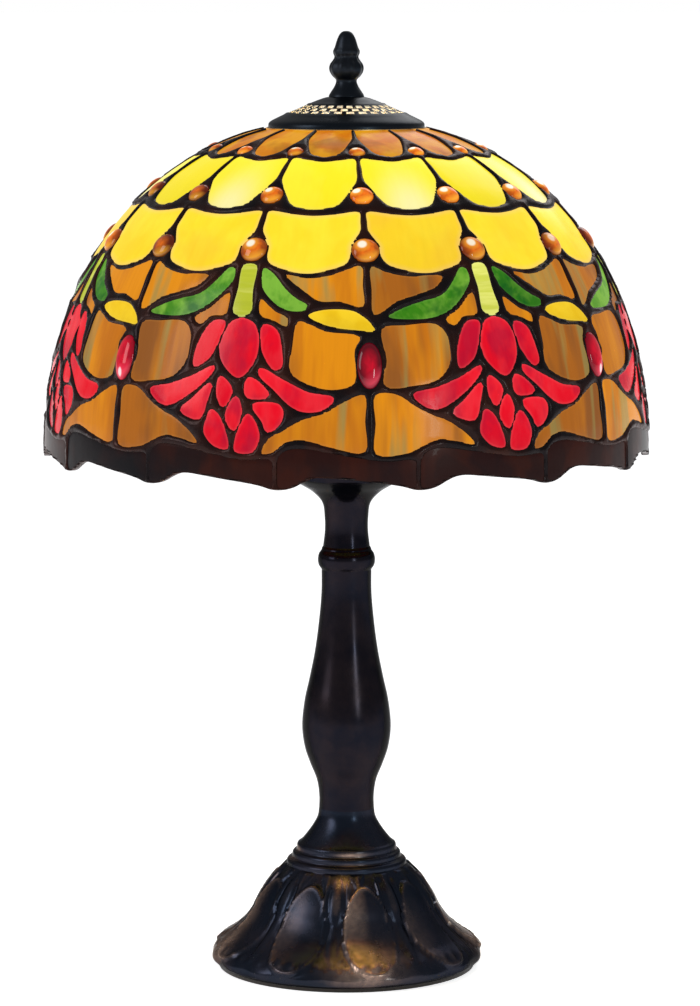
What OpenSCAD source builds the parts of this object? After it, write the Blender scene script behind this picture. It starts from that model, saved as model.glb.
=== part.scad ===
// Stained glass table lamp: a leaded dome of tulips on a cast column, held by a harp over one bulb.
// Millimetres, +Z up, origin at the centre of the foot on the table. The front is towards -Y.

/* [Overall] */
// Height of the finial's tip above the table
lamp_h = 480; // [478:1:490]
// Diameter of the shade at its lower edge, twelve inches
shade_d = 304.8; // [300:0.1:310]
// Diameter of the foot
base_d = 139; // [136:1:142]

/* [Shade] */
// Height of the dome's springing above the table, where its wall stands upright
dome_z = 262; // [261:1:263]
// Rise of the full dome curve above its springing
dome_rise = 172; // [171:1:173]
// Roundness of the dome curve: 2 is an ellipse, more is squarer
dome_power = 2.2; // [2.1:0.05:2.3]
// Radius of the hole at the top of the glass
crown_r = 42; // [41.5:0.5:42.5]
// Number of tulips round the shade
tulips = 7; // [7:1:7]
// Bearing of the first tulip from the front, in degrees
tulip_turn = 30; // [0:1:50]
// Thickness of the sheet glass
glass_t = 3; // [2.5:0.1:3.2]
// Width of a solder line
came_w = 4; // [3:0.5:4.5]

/* [Column] */
// Radius of the column at its swelling
vase_r = 22.9; // [21:0.1:24]
// Radius of the column below its collar
neck_r = 12.8; // [12:0.1:13]
// Outer radius of the threaded lamp rod
rod_r = 4.9; // [4.8:0.05:5]
// Radius of the hole through the lamp rod
rod_bore_r = 3.5; // [3:0.1:3.8]

/* [Lamp holder and bulb] */
// Outer radius of the brass holder
holder_r = 17; // [16.8:0.1:17.5]
// Radius of the bulb's glass
bulb_r = 27; // [26:0.5:28]
// Height of the bulb with its screw cap
bulb_h = 96; // [94:1:98]
// Radius of the bulb's screw cap
bulb_cap_r = 13; // [12.9:0.05:13.1]
// Radius of the harp's wire
harp_wire_r = 2; // [1.8:0.1:2.2]

/* [Cord inlet] */
// Radius of the hole through the cord bushing
inlet_r = 3.2; // [3:0.1:3.5]

/* [Hidden] */
$fn = 64;
eps = 0.01;
clearance = 0.06;

cell = 360 / tulips;     // one tulip repeat
panel = cell / 2;        // one pane of the plain rows
shade_r = shade_d / 2;
base_r = base_d / 2;

// Heights up the lamp
felt_t = 2;
plate_z = 5.5;
plate_t = 1.5;
ballast_z = plate_z + plate_t;
ballast_h = 12;
inlet_z = 13;
column_z = 82;           // foot of the column on the base
collar_z = 206;
upper_z = 218;
cup_z = 256;             // top of the flared cup
saddle_t = 1.5;
holder_z = 262;          // underside of the lamp holder
leg_top_z = 285;
harp_x = 27;             // distance of a harp leg from the axis
stud_top = 417;          // face of the harp's stud that carries the shade
stud_r = 3.1;
spider_t = 2;
cap_z = 431.6;           // lower edge of the heat cap
finial_z = 447;          // underside of the finial

// ---- Curves -------------------------------------------------------------------------------------

// A point of the Catmull-Rom curve between b and c, for t from 0 to 1.
function between(a, b, c, d, t) =
    0.5 * (2 * b + (c - a) * t + (2 * a - 5 * b + 4 * c - d) * t * t + (3 * b - a - 3 * c + d) * t * t * t);

// A smooth line through the given points, with the given number of steps from each to the next.
function smooth(p, steps = 5) = let (last = len(p) - 1)
    [for (i = [0:last - 1], k = [0:steps - (i == last - 1 ? 0 : 1)])
        between(p[max(i - 1, 0)], p[i], p[i + 1], p[min(i + 2, last)], k / steps)];

function reversed(list) = [for (i = [len(list) - 1:-1:0]) list[i]];

// ---- The dome: a superellipse turned about Z, measured down from the crown hole ---------------------

dome_steps = 60;
crown_angle = acos(pow(crown_r / shade_r, dome_power / 2));
function dome_curve(t) = [shade_r * pow(cos(t), 2 / dome_power), dome_z + dome_rise * pow(sin(t), 2 / dome_power)];
dome_line = [for (i = [0:dome_steps]) dome_curve(crown_angle * (1 - pow(i / dome_steps, 0.8)))];
function run_to(i) = i == 0 ? 0 : run_to(i - 1) + norm(dome_line[i] - dome_line[i - 1]);
dome_runs = [for (i = [0:dome_steps]) run_to(i)];
dome_r_at = [for (i = [0:dome_steps]) [dome_runs[i], dome_line[i][0]]];
dome_z_at = [for (i = [0:dome_steps]) [dome_runs[i], dome_line[i][1]]];
dome_run = dome_runs[dome_steps];

// Radius and height on the dome at run s from the crown hole. Past either end it goes on straight.
function dome_rz(s) =
    s < 0 ? dome_line[0] + (dome_line[0] - dome_line[1]) / norm(dome_line[0] - dome_line[1]) * -s :
    s > dome_run ? [shade_r, dome_z - (s - dome_run)] : [lookup(s, dome_r_at), lookup(s, dome_z_at)];
function dome_out(s) = let (d = dome_rz(s + 1) - dome_rz(s - 1)) [-d[1], d[0]] / norm(d);

// The point at bearing a from the front and run s down the dome, h out from the glass's middle.
function dome_point(a, s, h) = let (p = dome_rz(s) + dome_out(s) * h) [p[0] * sin(a), -p[0] * cos(a), p[1]];

// The dome's section from run s0 to s1, between heights h0 and h1 off the middle of the glass.
function dome_band(s0, s1, h0, h1, steps = 1) =
    concat([for (i = [0:steps]) let (s = s0 + (s1 - s0) * i / steps) dome_rz(s) + dome_out(s) * h1],
           [for (i = [steps:-1:0]) let (s = s0 + (s1 - s0) * i / steps) dome_rz(s) + dome_out(s) * h0]);

// ---- Glass outlines: [bearing from the tulip's stem, run down the dome] -----------------------------
// Each lists its upper edge from left to right, then its lower edge from right to left, with as many points.

function mirrored(half) = concat(half, [for (p = reversed(half)) [-p[0], p[1]]]);
function both_edges(upper, lower) = concat(mirrored(upper), reversed(mirrored(lower)));

// Half widths of the upright solder lines in the crown, the plain rows and the tulip band, in degrees.
crown_gap = 2;
plain_gap = 1.25;
band_gap = 1;
crown_edge = panel / 2 - crown_gap;
plain_edge = panel / 2 - plain_gap;
band_edge = panel - band_gap;

crown_outline = both_edges([[-crown_edge, -2], [-9, -2], [-6.5, -2], [-2.5, -2]],
                           [[-crown_edge, 9], [-8.4, 19], [-5.6, 29.5], [-2.5, 32.3]]);
upper_outline = both_edges([[-plain_edge, 34.6], [-9, 35.2], [-6.6, 36], [-2, 37.3]],
                           [[-plain_edge, 47], [-9.3, 59.5], [-6.8, 68.8], [-2, 71.9]]);
lower_outline = both_edges([[-plain_edge, 74.3], [-9, 74.4], [-6, 75.6], [-2, 77.1]],
                           [[-plain_edge, 86], [-8.8, 94], [-7.5, 105.2], [-2, 109.4]]);

long_leaf = [[-22.5, 134], [-20.4, 129.2], [-17.5, 127], [-14, 126], [-11, 123.3], [-8, 117.5], [-4.3, 108.5],
             [-2.8, 110], [-3.1, 115.5], [-5.2, 122.5], [-8, 128], [-11.5, 132.5], [-16, 134.4], [-20, 134.6]];
short_leaf = [[3.4, 107], [5.4, 110], [7.4, 115.8], [9.8, 121.7], [12.2, 126.5],
              [10.4, 128.7], [8, 126.8], [5.7, 121.8], [3.6, 116], [3, 111]];
leaf_tip = [[13.3, 131.8], [15.7, 128.3], [18.5, 127], [21.8, 128.6], [25, 132.6],
            [26.9, 138.3], [23, 139], [19.3, 136.5], [15.7, 133.8], [14.2, 132.8]];
stem = [[-1.6, 105.5], [1.6, 105.5], [1.7, 129.5], [-1.7, 129.5]];

amber_upper_left = [[-band_edge, 105.5], [-22, 107.5], [-19.3, 110.3], [-15.2, 112], [-11, 112], [-8, 111.5],
                    [-9.7, 115.8], [-12.5, 119.5], [-16.5, 121.3], [-20, 124.2], [-23.4, 130.5], [-band_edge, 128]];
amber_upper_right = [[8.8, 111.8], [13.3, 112.2], [17.2, 110.6], [21, 107.2], [band_edge, 105.3],
                     [band_edge, 123.6], [21, 124], [17.5, 123.8], [14.2, 123.2], [10.3, 115.8]];
sliver_left = [[-10.3, 136], [-7, 130], [-2.9, 122.5], [-2.8, 130], [-6, 133.3], [-8.8, 138]];
sliver_right = [[3.7, 123.5], [6.5, 128.5], [9.6, 131.8], [9.3, 136], [6.2, 132.7], [3.8, 129.5]];
amber_middle_left = [[-23, 140.5], [-21.8, 138], [-12.6, 137], [-11.2, 139], [-10.1, 144],
                     [-9.9, 154], [-10.9, 160.5], [-13.8, 165.3], [-21.8, 165.5], [-22.4, 152]];
amber_middle_right = [[10.2, 141], [10.9, 134.5], [15.2, 136], [18.5, 138.4], [21.4, 140.8],
                      [22.3, 160], [20.8, 165.4], [18.3, 166.2], [14.4, 164.2], [10.7, 158.8]];
amber_lower_left = [[-band_edge, 168.5], [-20.4, 169], [-18.6, 174], [-16, 178.8], [-12.5, 181], [-9.3, 186],
                    [-6.9, 190], [-6.2, 194.5], [-9.3, 193.8], [-12.5, 192.6], [-15.7, 193.8], [-18.8, 197.8],
                    [-21.5, 198.1], [-band_edge, 198.2]];
amber_lower_right = [[6.3, 196.8], [7.6, 191.8], [9.8, 186], [11.5, 180.8], [14.6, 180.3], [18, 177.4],
                     [21, 171.8], [band_edge, 167.6], [band_edge, 197.2], [21, 195.3], [16.5, 192.6], [12.9, 192.2],
                     [10.2, 194.8], [7.8, 198.2]];

petals = [
    [[-3.1, 140.5], [-1.8, 135.2], [0.3, 133.2], [1.9, 134.5], [3.1, 138], [4, 147],
     [3, 157], [0.9, 162], [-0.8, 161.6], [-2, 159], [-2.9, 156.5], [-3.7, 149]],
    [[-8.7, 150], [-7.9, 141.7], [-6, 136.3], [-3.6, 134.8], [-4.7, 142], [-5.3, 150], [-6.3, 155.6], [-8.9, 158]],
    [[5.2, 143], [4.3, 134.6], [6.2, 135.6], [8.3, 141.7], [8.6, 149], [8.3, 157], [6.8, 155.2], [5.5, 151.5]],
    [[-18.3, 168.5], [-14.8, 168.3], [-10.5, 166], [-7, 161], [-4.8, 158.4], [-4.3, 161],
     [-5.8, 166.5], [-8.5, 171.5], [-11.3, 175.2], [-13.7, 176.3], [-16.1, 174.6], [-17.6, 171.5]],
    [[5.4, 157.6], [7.3, 160.8], [10.5, 165], [13.7, 168.7], [17, 170.3], [19.6, 170.5],
     [17.6, 174.6], [14.8, 176.4], [12.3, 175.3], [9.6, 171.6], [6.9, 165.8], [5.3, 161]],
    [[-10.3, 179.8], [-7.4, 174], [-4.3, 168.5], [-4.9, 178], [-6.2, 185.3], [-8.2, 182.8]],
    [[-2.9, 167], [-1.5, 163.8], [0.5, 170], [-0.4, 175], [-2, 179.4], [-3, 173.5]],
    [[3, 165.3], [4.2, 162.3], [6, 166.8], [7.4, 170.6], [4.8, 172.3], [3.1, 170]],
    [[-0.3, 181], [0.9, 177.3], [2.3, 174.5], [2.1, 182.5], [0.8, 187.6], [-0.3, 184.5]],
    [[5.8, 175.3], [7.6, 174.9], [9.4, 174.8], [9.8, 180], [7.6, 186.6], [6.7, 181.5]],
    [[-4.7, 185.5], [-3.6, 180], [-2.8, 182], [-1.8, 186], [-0.5, 192.5], [-0.4, 198], [-3.5, 196.6], [-4.6, 192.5]],
    [[1.5, 191], [2.5, 185], [4, 180], [4.9, 182], [5.5, 185.5], [5.2, 192.5], [3.6, 197.8], [1.5, 197.8]]];

rim_outline = [[-4.8, 200.5], [-3, 196.8], [0, 195], [3.5, 196], [8, 198], [12, 199.8], [16, 201], [18.8, 201],
               [18.8, 213.3], [15, 211.8], [10, 209.8], [6, 208.6], [3.2, 209], [0.6, 212.5], [-2.4, 216.3],
               [-4.8, 214.5]];

// ---- Glass --------------------------------------------------------------------------------------

// A sheet of glass with this outline, laid on the dome and turned to the given bearing.
module pane(outline, bearing) {
    n = len(outline);
    rungs = n / 2;
    points = [for (h = [glass_t / 2, -glass_t / 2], p = outline) dome_point(bearing + p[0], p[1], h)];
    sheet = [for (i = [0:rungs - 2], k = [0, 1])
        k == 0 ? [i, i + 1, n - 1 - i] : [i + 1, n - 2 - i, n - 1 - i]];
    back = [for (f = sheet) [f[2] + n, f[1] + n, f[0] + n]];
    sides = [for (i = [0:n - 1], k = [0, 1]) let (j = (i + 1) % n) k == 0 ? [j, i, i + n] : [j, i + n, j + n]];
    polyhedron(points, concat(sheet, back, sides), convexity = 4);
}

// The same pane at every repeat of the given step.
module ring_of_panes(outline, step, first) {
    for (i = [0:round(360 / step) - 1]) pane(outline, first + step * i);
}

// Turns a piece that faces +Z so that it stands on the dome at this bearing and run.
module on_dome(bearing, s) {
    out = dome_out(s);
    p = dome_rz(s);
    rotate([0, 0, bearing - 90]) translate([p[0], 0, p[1]]) rotate([0, atan2(out[0], out[1]), 0]) children();
}

// Round pressed-glass jewels on every upright seam, each a button with a domed face and a flat back.
module ring_of_jewels(s, r) {
    dome_h = r * 0.42;
    ball_r = (r * r + dome_h * dome_h) / (2 * dome_h);
    for (i = [0:2 * tulips - 1]) on_dome(tulip_turn + panel * i, s) intersection() {
        translate([0, 0, glass_t / 2 + dome_h - ball_r]) sphere(ball_r);
        translate([0, 0, -glass_t / 2]) cylinder(r = r, h = glass_t + dome_h);
    }
}

module crown_panes() color("peru") ring_of_panes(crown_outline, panel, tulip_turn + panel / 2);
module upper_yellow_panes() color("gold") ring_of_panes(upper_outline, panel, tulip_turn + panel / 2);
module lower_yellow_panes() color("goldenrod") ring_of_panes(lower_outline, panel, tulip_turn + panel / 2);
module crown_jewels() color("darkorange") ring_of_jewels(27.5, 4);
module upper_jewels() color("darkorange") ring_of_jewels(63.5, 5.8);
module lower_jewels() color("darkorange") ring_of_jewels(97, 6.6);

module amber_upper_panes() color("chocolate") {
    ring_of_panes(amber_upper_left, cell, tulip_turn);
    ring_of_panes(amber_upper_right, cell, tulip_turn);
}
module amber_middle_panes() color("darkgoldenrod") {
    ring_of_panes(amber_middle_left, cell, tulip_turn);
    ring_of_panes(amber_middle_right, cell, tulip_turn);
}
module amber_lower_panes() color("darkgoldenrod") {
    ring_of_panes(amber_lower_left, cell, tulip_turn);
    ring_of_panes(amber_lower_right, cell, tulip_turn);
}
module amber_slivers() color("peru") {
    ring_of_panes(sliver_left, cell, tulip_turn);
    ring_of_panes(sliver_right, cell, tulip_turn);
}
module stems() color("khaki") ring_of_panes(stem, cell, tulip_turn);
module long_leaves() color("forestgreen") ring_of_panes(long_leaf, cell, tulip_turn);
module short_leaves() color("limegreen") ring_of_panes(short_leaf, cell, tulip_turn);
module leaf_tips() color("yellow") ring_of_panes(leaf_tip, cell, tulip_turn);
module tulip_petals() color("crimson") for (p = petals) ring_of_panes(p, cell, tulip_turn);
module rim_panes() color([0.13, 0.07, 0.05]) ring_of_panes(rim_outline, panel, tulip_turn - panel / 2);

// An oval button with a flat back and a domed face that rises height above the sheet glass.
module cabochon(half_w, half_h, height) {
    n = 20;
    layers = concat([[1, -glass_t / 2]], [for (t = [0:22:66]) [cos(t), glass_t / 2 + height * sin(t)]]);
    last = len(layers) - 1;
    points = concat([for (layer = layers, i = [0:n - 1])
        [half_h * layer[0] * cos(360 * i / n), half_w * layer[0] * sin(360 * i / n), layer[1]]],
        [[0, 0, glass_t / 2 + height]]);
    sides = [for (k = [0:last - 1], i = [0:n - 1], half = [0, 1]) let (a = k * n, j = (i + 1) % n)
        half == 0 ? [a + i, a + n + j, a + j] : [a + i, a + n + i, a + n + j]];
    top = [for (i = [0:n - 1]) [last * n + i, (last + 1) * n, last * n + (i + 1) % n]];
    polyhedron(points, concat([[for (i = [0:n - 1]) i]], sides, top), convexity = 2);
}

// Long oval cabochons, one between each two tulips.
module oval_cabochons() color("red") {
    for (i = [0:tulips - 1]) on_dome(tulip_turn + panel + cell * i, 155.4) cabochon(5.7, 11.3, 2.8);
}

// ---- Metal of the shade -------------------------------------------------------------------------

// A solder line down the dome at this bearing, width degrees across, from run s0 to s1.
module upright_seam(bearing, width, s0, s1) {
    rotate([0, 0, bearing - 90 - width / 2])
        rotate_extrude(angle = width, $fn = 128) polygon(dome_band(s0, s1, -came_h, came_h, 6));
}

// A solder line right round the dome at run s.
module level_seam(s) {
    rotate_extrude($fn = 128) polygon(dome_band(s - came_w / 4, s + came_w / 4, -came_h, came_h));
}

// The main solder lines: two round the dome, and uprights broken by the jewels and cabochons.
came_h = glass_t / 2 + 0.6;
module lead_came() color([0.12, 0.07, 0.05]) {
    for (s = [33.4, 73.1]) level_seam(s);
    for (i = [0:2 * tulips - 1]) {
        upright_seam(tulip_turn + panel * i, 2 * crown_gap, -2, 23.2);
        upright_seam(tulip_turn + panel * i, 2 * plain_gap, 31.6, 57.3);
        upright_seam(tulip_turn + panel * i, 2 * plain_gap, 69.5, 90);
    }
    for (i = [0:tulips - 1], run = [[103.8, 129.5], [168, 199.6]])
        upright_seam(tulip_turn + panel + cell * i, 2 * band_gap, run[0], run[1]);
}

// The stiffening wire soldered round the inside of the lower edge.
module reinforcing_wire() color("darkgoldenrod") {
    p = dome_rz(203) - dome_out(203) * (glass_t / 2 + 1.4);
    rotate_extrude($fn = 128) translate(p) circle(1.2, $fn = 24);
}

// The brass hoop that edges the crown hole. The spider's feet are soldered inside it.
hoop_r = 36.6;
module top_ring() color("darkgoldenrod") {
    low = dome_rz(-2) - dome_out(-2) * glass_t / 2;
    high = dome_rz(-2) + dome_out(-2) * glass_t / 2;
    rotate_extrude($fn = 128) polygon([[hoop_r, low[1]], low, high, [high[0], cap_z], [hoop_r, cap_z]]);
}

// Three-armed wheel that hangs the shade on the harp's stud.
module spider() color("darkgoldenrod") {
    z = stud_top;
    post_r = hoop_r - 6;
    foot_z = cap_z - spider_t;
    difference() {
        union() {
            translate([0, 0, z]) cylinder(r = 12, h = spider_t);
            intersection() {
                cylinder(r = hoop_r, h = lamp_h, $fn = 128);
                for (i = [0:2]) rotate([0, 0, 120 * i + 90]) {
                    translate([8, -4, z]) cube([post_r - 8 + spider_t, 8, spider_t]);
                    translate([post_r, -4, z]) cube([spider_t, 8, cap_z - z]);
                    translate([post_r, -4, foot_z]) cube([10, 8, spider_t]);
                }
            }
        }
        translate([0, 0, z - 1]) cylinder(r = stud_r + clearance, h = spider_t + 2);
    }
}

// Pierced cast cap over the crown hole, which lets the heat out.
module heat_cap() color([0.09, 0.07, 0.06]) {
    lip_r = 39.6;
    bore_r = stud_r + clearance;
    f = finial_z;
    vents = 28;              // holes in each of the three rows
    difference() {
        rotate_extrude($fn = 96) polygon(concat([[bore_r, f], [9, f]],
            smooth([[12, f - 0.8], [25, f - 6.2], [35, f - 10.4], [lip_r, cap_z + 2.2]], 4),
            [[lip_r, cap_z], [lip_r - 2, cap_z]],
            smooth([[lip_r - 2, cap_z + 1.6], [34.2, f - 12.4], [25, f - 8.4], [12, f - 3.2]], 4),
            [[bore_r, f - 3.2]]));
        for (row = [0:2], i = [0:vents - 1]) rotate([0, 0, (i + row / 2) * 360 / vents])
            translate([21.5 + 3.2 * row, 0, cap_z]) cylinder(r = 1.4, h = 22, $fn = 16);
    }
}

// Turned finial that screws down on the harp's stud.
module finial() color([0.09, 0.07, 0.06]) {
    f = finial_z;
    top = lamp_h;
    profile = smooth([[9, f], [8.6, f + 1.8], [6.6, f + 4.8], [5.5, f + 7.6], [7.2, f + 10], [8.6, f + 13.3],
        [8.2, f + 15.6], [6, f + 18.8], [6.7, f + 22.6], [5, f + 27], [3.6, top - 2.4], [1.6, top - 0.4]], 4);
    difference() {
        rotate_extrude($fn = 64) polygon(concat([[0, f]], profile, [[0, top]]));
        translate([0, 0, f - 1]) cylinder(r = stud_r + clearance, h = 12);
    }
}

// ---- Base and column ----------------------------------------------------------------------------

skirt = smooth([[base_r - 3, felt_t], [base_r - 0.4, 4], [base_r, 7], [base_r - 3, 11.5], [59, 17], [52.5, 23],
                [47.5, 30], [44, 37], [38.5, 45], [32.5, 51.5]], 4);
shoulder = smooth([[26.6, 59.5], [24.2, 64.2], [18, 71.8], [14.9, 77.5], [14.2, column_z]], 4);

// Thin cast foot, open underneath, with two beads round its shoulder and a boss for the cord.
module base_shell() color([0.12, 0.09, 0.07]) {
    wall = 3.4;
    boss_r = 7.5;
    boss_y = 67.5;
    difference() {
        union() {
            rotate_extrude($fn = 128) polygon(concat(skirt, [[31.2, 52.6], [29.6, 54.4], [28.6, 56.4], [27.2, 58.2]],
                shoulder, [[0, column_z], [0, felt_t]]));
            for (bead = [[29.2, 54.2, 1.6], [26.4, 58.4, 1.3]]) translate([0, 0, bead[1]])
                rotate_extrude($fn = 96) translate([bead[0], 0]) circle(bead[2], $fn = 24);
            translate([0, boss_y, inlet_z]) rotate([90, 0, 0]) cylinder(r = boss_r, h = 20, $fn = 48);
        }
        rotate_extrude($fn = 128) polygon([[0, felt_t - 1], [62, felt_t - 1], [62, plate_z + plate_t],
            [60.6, plate_z + plate_t], [60.6, 11.5], [54, 17.5], [49, 23], [43.5, 30], [39.5, 38], [33, 46],
            [27, 51.6], [23.5, 56], [18.5, 64], [14, 70], [0, 72]]);
        translate([0, 0, 60]) cylinder(r = rod_r + 0.3, h = 30);
        translate([0, boss_y + 10, inlet_z]) rotate([90, 0, 0]) cylinder(r = boss_r, h = 10, $fn = 48);
        translate([0, boss_y + 1, inlet_z]) rotate([90, 0, 0]) cylinder(r = 5, h = 30, $fn = 48);
    }
}

module felt_pad() color("darkgreen") difference() {
    cylinder(r = base_r - 3.5, h = felt_t, $fn = 128);
    translate([0, 0, -1]) cylinder(r = 15, h = felt_t + 2);
}

// Steel disc that closes the foot and takes the pull of the rod.
module base_plate() color("silver") translate([0, 0, plate_z]) difference() {
    cylinder(r = 61.8, h = plate_t, $fn = 128);
    translate([0, 0, -1]) cylinder(r = rod_r + 0.3, h = plate_t + 2);
}

module ballast_weight() color("dimgray") translate([0, 0, ballast_z]) difference() {
    cylinder(r1 = 45, r2 = 40, h = ballast_h, $fn = 96);
    translate([0, 0, -1]) cylinder(r = rod_r + 0.3, h = ballast_h + 2);
}

// Flanged bushing that guards the cord where it enters the foot.
module cord_bushing() color("black") translate([0, 69, inlet_z]) rotate([90, 0, 0]) difference() {
    union() {
        cylinder(r = 6.4, h = 1.5, $fn = 48);
        cylinder(r = 5, h = 14, $fn = 48);
    }
    translate([0, 0, -1]) cylinder(r = inlet_r, h = 16, $fn = 48);
}

module lamp_rod() color("silver") difference() {
    translate([0, 0, 1]) cylinder(r = rod_r, h = holder_z + 6);
    cylinder(r = rod_bore_r, h = holder_z + 8);
}

module hex_nut(z, h, across) translate([0, 0, z]) difference() {
    cylinder(r = across / sqrt(3), h = h, $fn = 6);
    translate([0, 0, -1]) cylinder(r = rod_r, h = h + 2);
}
module foot_nut() color("silver") hex_nut(1, 3.5, 17);
module cup_nut() color("silver") hex_nut(cup_z - 8.5, 3.5, 15);
module foot_washer() color("silver") translate([0, 0, 4.5]) difference() {
    cylinder(r = 11, h = 1);
    translate([0, 0, -1]) cylinder(r = rod_r, h = 3);
}

// A turned part of the column: its outline round the rod's clearance hole.
module turned(line) difference() {
    rotate_extrude($fn = 96) polygon(concat([[0, line[0][1]]], line, [[0, line[len(line) - 1][1]]]));
    translate([0, 0, line[0][1] - 1]) cylinder(r = rod_r + 0.3, h = 200);
}

module lower_column() color([0.12, 0.09, 0.07]) turned(smooth([[14.2, column_z], [14.1, 88], [15.3, 96.5],
    [18.8, 105.4], [vase_r - 1.4, 113.5], [vase_r, 124.5], [vase_r - 1.3, 138], [19.2, 149], [16.3, 163.5],
    [14.2, 179], [neck_r + 0.1, 194], [neck_r, collar_z]], 5));

module collar_ring() color([0.12, 0.09, 0.07]) turned(smooth([[neck_r, collar_z], [13.4, 207], [14.3, 209.8],
    [14.3, 213.2], [13.2, 216.6], [12, upper_z]], 4));

// Neck that flares into the cup under the lamp holder.
module upper_column() color([0.12, 0.09, 0.07]) difference() {
    rotate_extrude($fn = 96) polygon(concat([[0, upper_z]],
        smooth([[12, upper_z], [11.1, 226], [11.2, 233], [12.4, 240.5], [17.6, 246.3], [24.5, 250.5],
                [29.4, 254], [30, cup_z]], 4),
        smooth([[28, cup_z], [26.6, 253.6], [20, 250.2], [14, cup_z - 8.5]], 4), [[0, cup_z - 8.5]]));
    translate([0, 0, upper_z - 1]) cylinder(r = rod_r + 0.3, h = 60);
}

// ---- Harp ---------------------------------------------------------------------------------------

// Bent strap on the rod, with an upturned arm for each leg of the harp.
module harp_saddle() color("darkgoldenrod") {
    z = cup_z;
    difference() {
        union() {
            translate([-harp_x, -5, z + 1]) cube([2 * harp_x, 10, saddle_t]);
            translate([0, 0, z - 5]) cylinder(r = 8, h = 6 + eps);
            for (side = [-1, 1]) translate([side * harp_x, 0, z + 1]) cylinder(r = harp_wire_r, h = 9);
        }
        translate([0, 0, z - 6]) cylinder(r = rod_r, h = 20);
    }
}

// A length of wire bent to radius r, from a point where it leans lean degrees inwards from upright
// (less than zero leans outwards), through turn degrees. All in the XZ plane, on the +X side.
module bend(at, r, lean, turn) {
    translate([at[0] - sign(turn) * r * cos(lean), 0, at[1] - sign(turn) * r * sin(lean)]) rotate([90, 0, 0])
        rotate([0, 0, turn > 0 ? lean : lean + turn + 180]) rotate_extrude(angle = abs(turn), $fn = 96)
            translate([r, 0]) circle(harp_wire_r, $fn = 24);
}
function bent(at, r, lean, turn) =
    at + sign(turn) * r * [cos(lean + turn) - cos(lean), sin(lean + turn) - sin(lean)];

flare = 30;          // lean of the bow where it leaves the leg
flare_r = 15;
bow_r = 95;
bow_turn = 77.6;
crook_r = 12;
leg_top = [harp_x, leg_top_z];
bow_foot = bent(leg_top, flare_r, 0, -flare);
bow_head = bent(bow_foot, bow_r, -flare, bow_turn);
crook_end = bent(bow_head, crook_r, bow_turn - flare, 90 + flare - bow_turn);

// Two bowed legs that meet over the bulb in a button, which the stud is riveted through.
button_r = 7.5;
button_half = 2.5;
rivet_r = 2;
joint_r = harp_wire_r + 0.12;
module harp() color("darkgoldenrod") {
    foot_z = cup_z + 10;
    for (side = [0, 180]) rotate([0, 0, side]) {
        translate([harp_x, 0, foot_z]) cylinder(r = harp_wire_r, h = leg_top_z - foot_z, $fn = 24);
        bend(leg_top, flare_r, 0, -flare);
        bend(bow_foot, bow_r, -flare, bow_turn);
        bend(bow_head, crook_r, bow_turn - flare, 90 + flare - bow_turn);
        for (p = [leg_top, bow_foot, bow_head]) translate([p[0], 0, p[1]]) sphere(joint_r, $fn = 24);
    }
    difference() {
        translate([0, 0, crook_end[1] - button_half]) cylinder(r = button_r, h = 2 * button_half);
        translate([0, 0, crook_end[1] - 10]) cylinder(r = rivet_r, h = 20);
    }
}

// Flanged stud at the top of the harp, which carries the spider, cap and finial.
module harp_stud() color("darkgoldenrod") {
    button_z = crook_end[1] + button_half;
    translate([0, 0, crook_end[1] - button_half]) cylinder(r = rivet_r, h = 2 * button_half + 1);
    translate([0, 0, button_z]) cylinder(r = 6, h = stud_top - button_z - eps);
    translate([0, 0, button_z]) cylinder(r = stud_r, h = finial_z + 9 - button_z);
}

// Sleeve that locks a harp leg to its arm of the saddle.
module sleeve(side) color("gold") translate([side * harp_x, 0, cup_z + 4.5]) difference() {
    cylinder(r = harp_wire_r + 1.2, h = 11, $fn = 48);
    translate([0, 0, -1]) cylinder(r = harp_wire_r + clearance, h = 13, $fn = 48);
}
module left_sleeve() sleeve(-1);
module right_sleeve() sleeve(1);

// ---- Lamp holder and bulb -----------------------------------------------------------------------

shell_z = holder_z + 12;      // seam between the holder's cap and shell
shell_top = holder_z + 54;
thread_z = holder_z + 28;     // foot of the screw shell
contact_z = thread_z + 2;

module holder_cap() color("gold") difference() {
    rotate_extrude() polygon(concat([[0, holder_z - 3.5], [7, holder_z - 3.5], [7, holder_z]],
        smooth([[9, holder_z], [14, holder_z + 2], [16.4, holder_z + 6.5], [holder_r, shell_z]], 4),
        smooth([[holder_r - 0.8, shell_z], [15.4, holder_z + 7], [13, holder_z + 3.2], [8.5, holder_z + 1.2]], 4),
        [[0, holder_z + 1.2]]));
    translate([0, 0, holder_z - 5]) cylinder(r = rod_r, h = 20);
}

module holder_shell() color("gold") difference() {
    union() {
        translate([0, 0, shell_z]) cylinder(r = holder_r, h = shell_top - shell_z);
        translate([0, 0, shell_top - 4]) cylinder(r = holder_r + 0.8, h = 2);
    }
    translate([0, 0, shell_z - 1]) cylinder(r = holder_r - 0.8, h = 60);
    translate([0, 0, shell_z + 8]) rotate([90, 0, 0]) cylinder(r = 3.2, h = 40, $fn = 32);
}

module holder_liner() color("tan") difference() {
    translate([0, 0, shell_z + 0.5]) cylinder(r = holder_r - 0.8, h = shell_top - shell_z - 1);
    translate([0, 0, shell_z]) cylinder(r = holder_r - 1.6, h = 60);
    translate([0, 0, shell_z + 8]) rotate([90, 0, 0]) cylinder(r = 3.2, h = 40, $fn = 32);
}

module holder_body() color([0.1, 0.1, 0.1]) difference() {
    translate([0, 0, shell_z - 2]) cylinder(r = 14.6, h = thread_z - shell_z + 2);
    translate([0, 0, shell_z + 8]) rotate([90, 0, 0]) cylinder(r = 2.2 + clearance, h = 40, $fn = 32);
}

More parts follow.
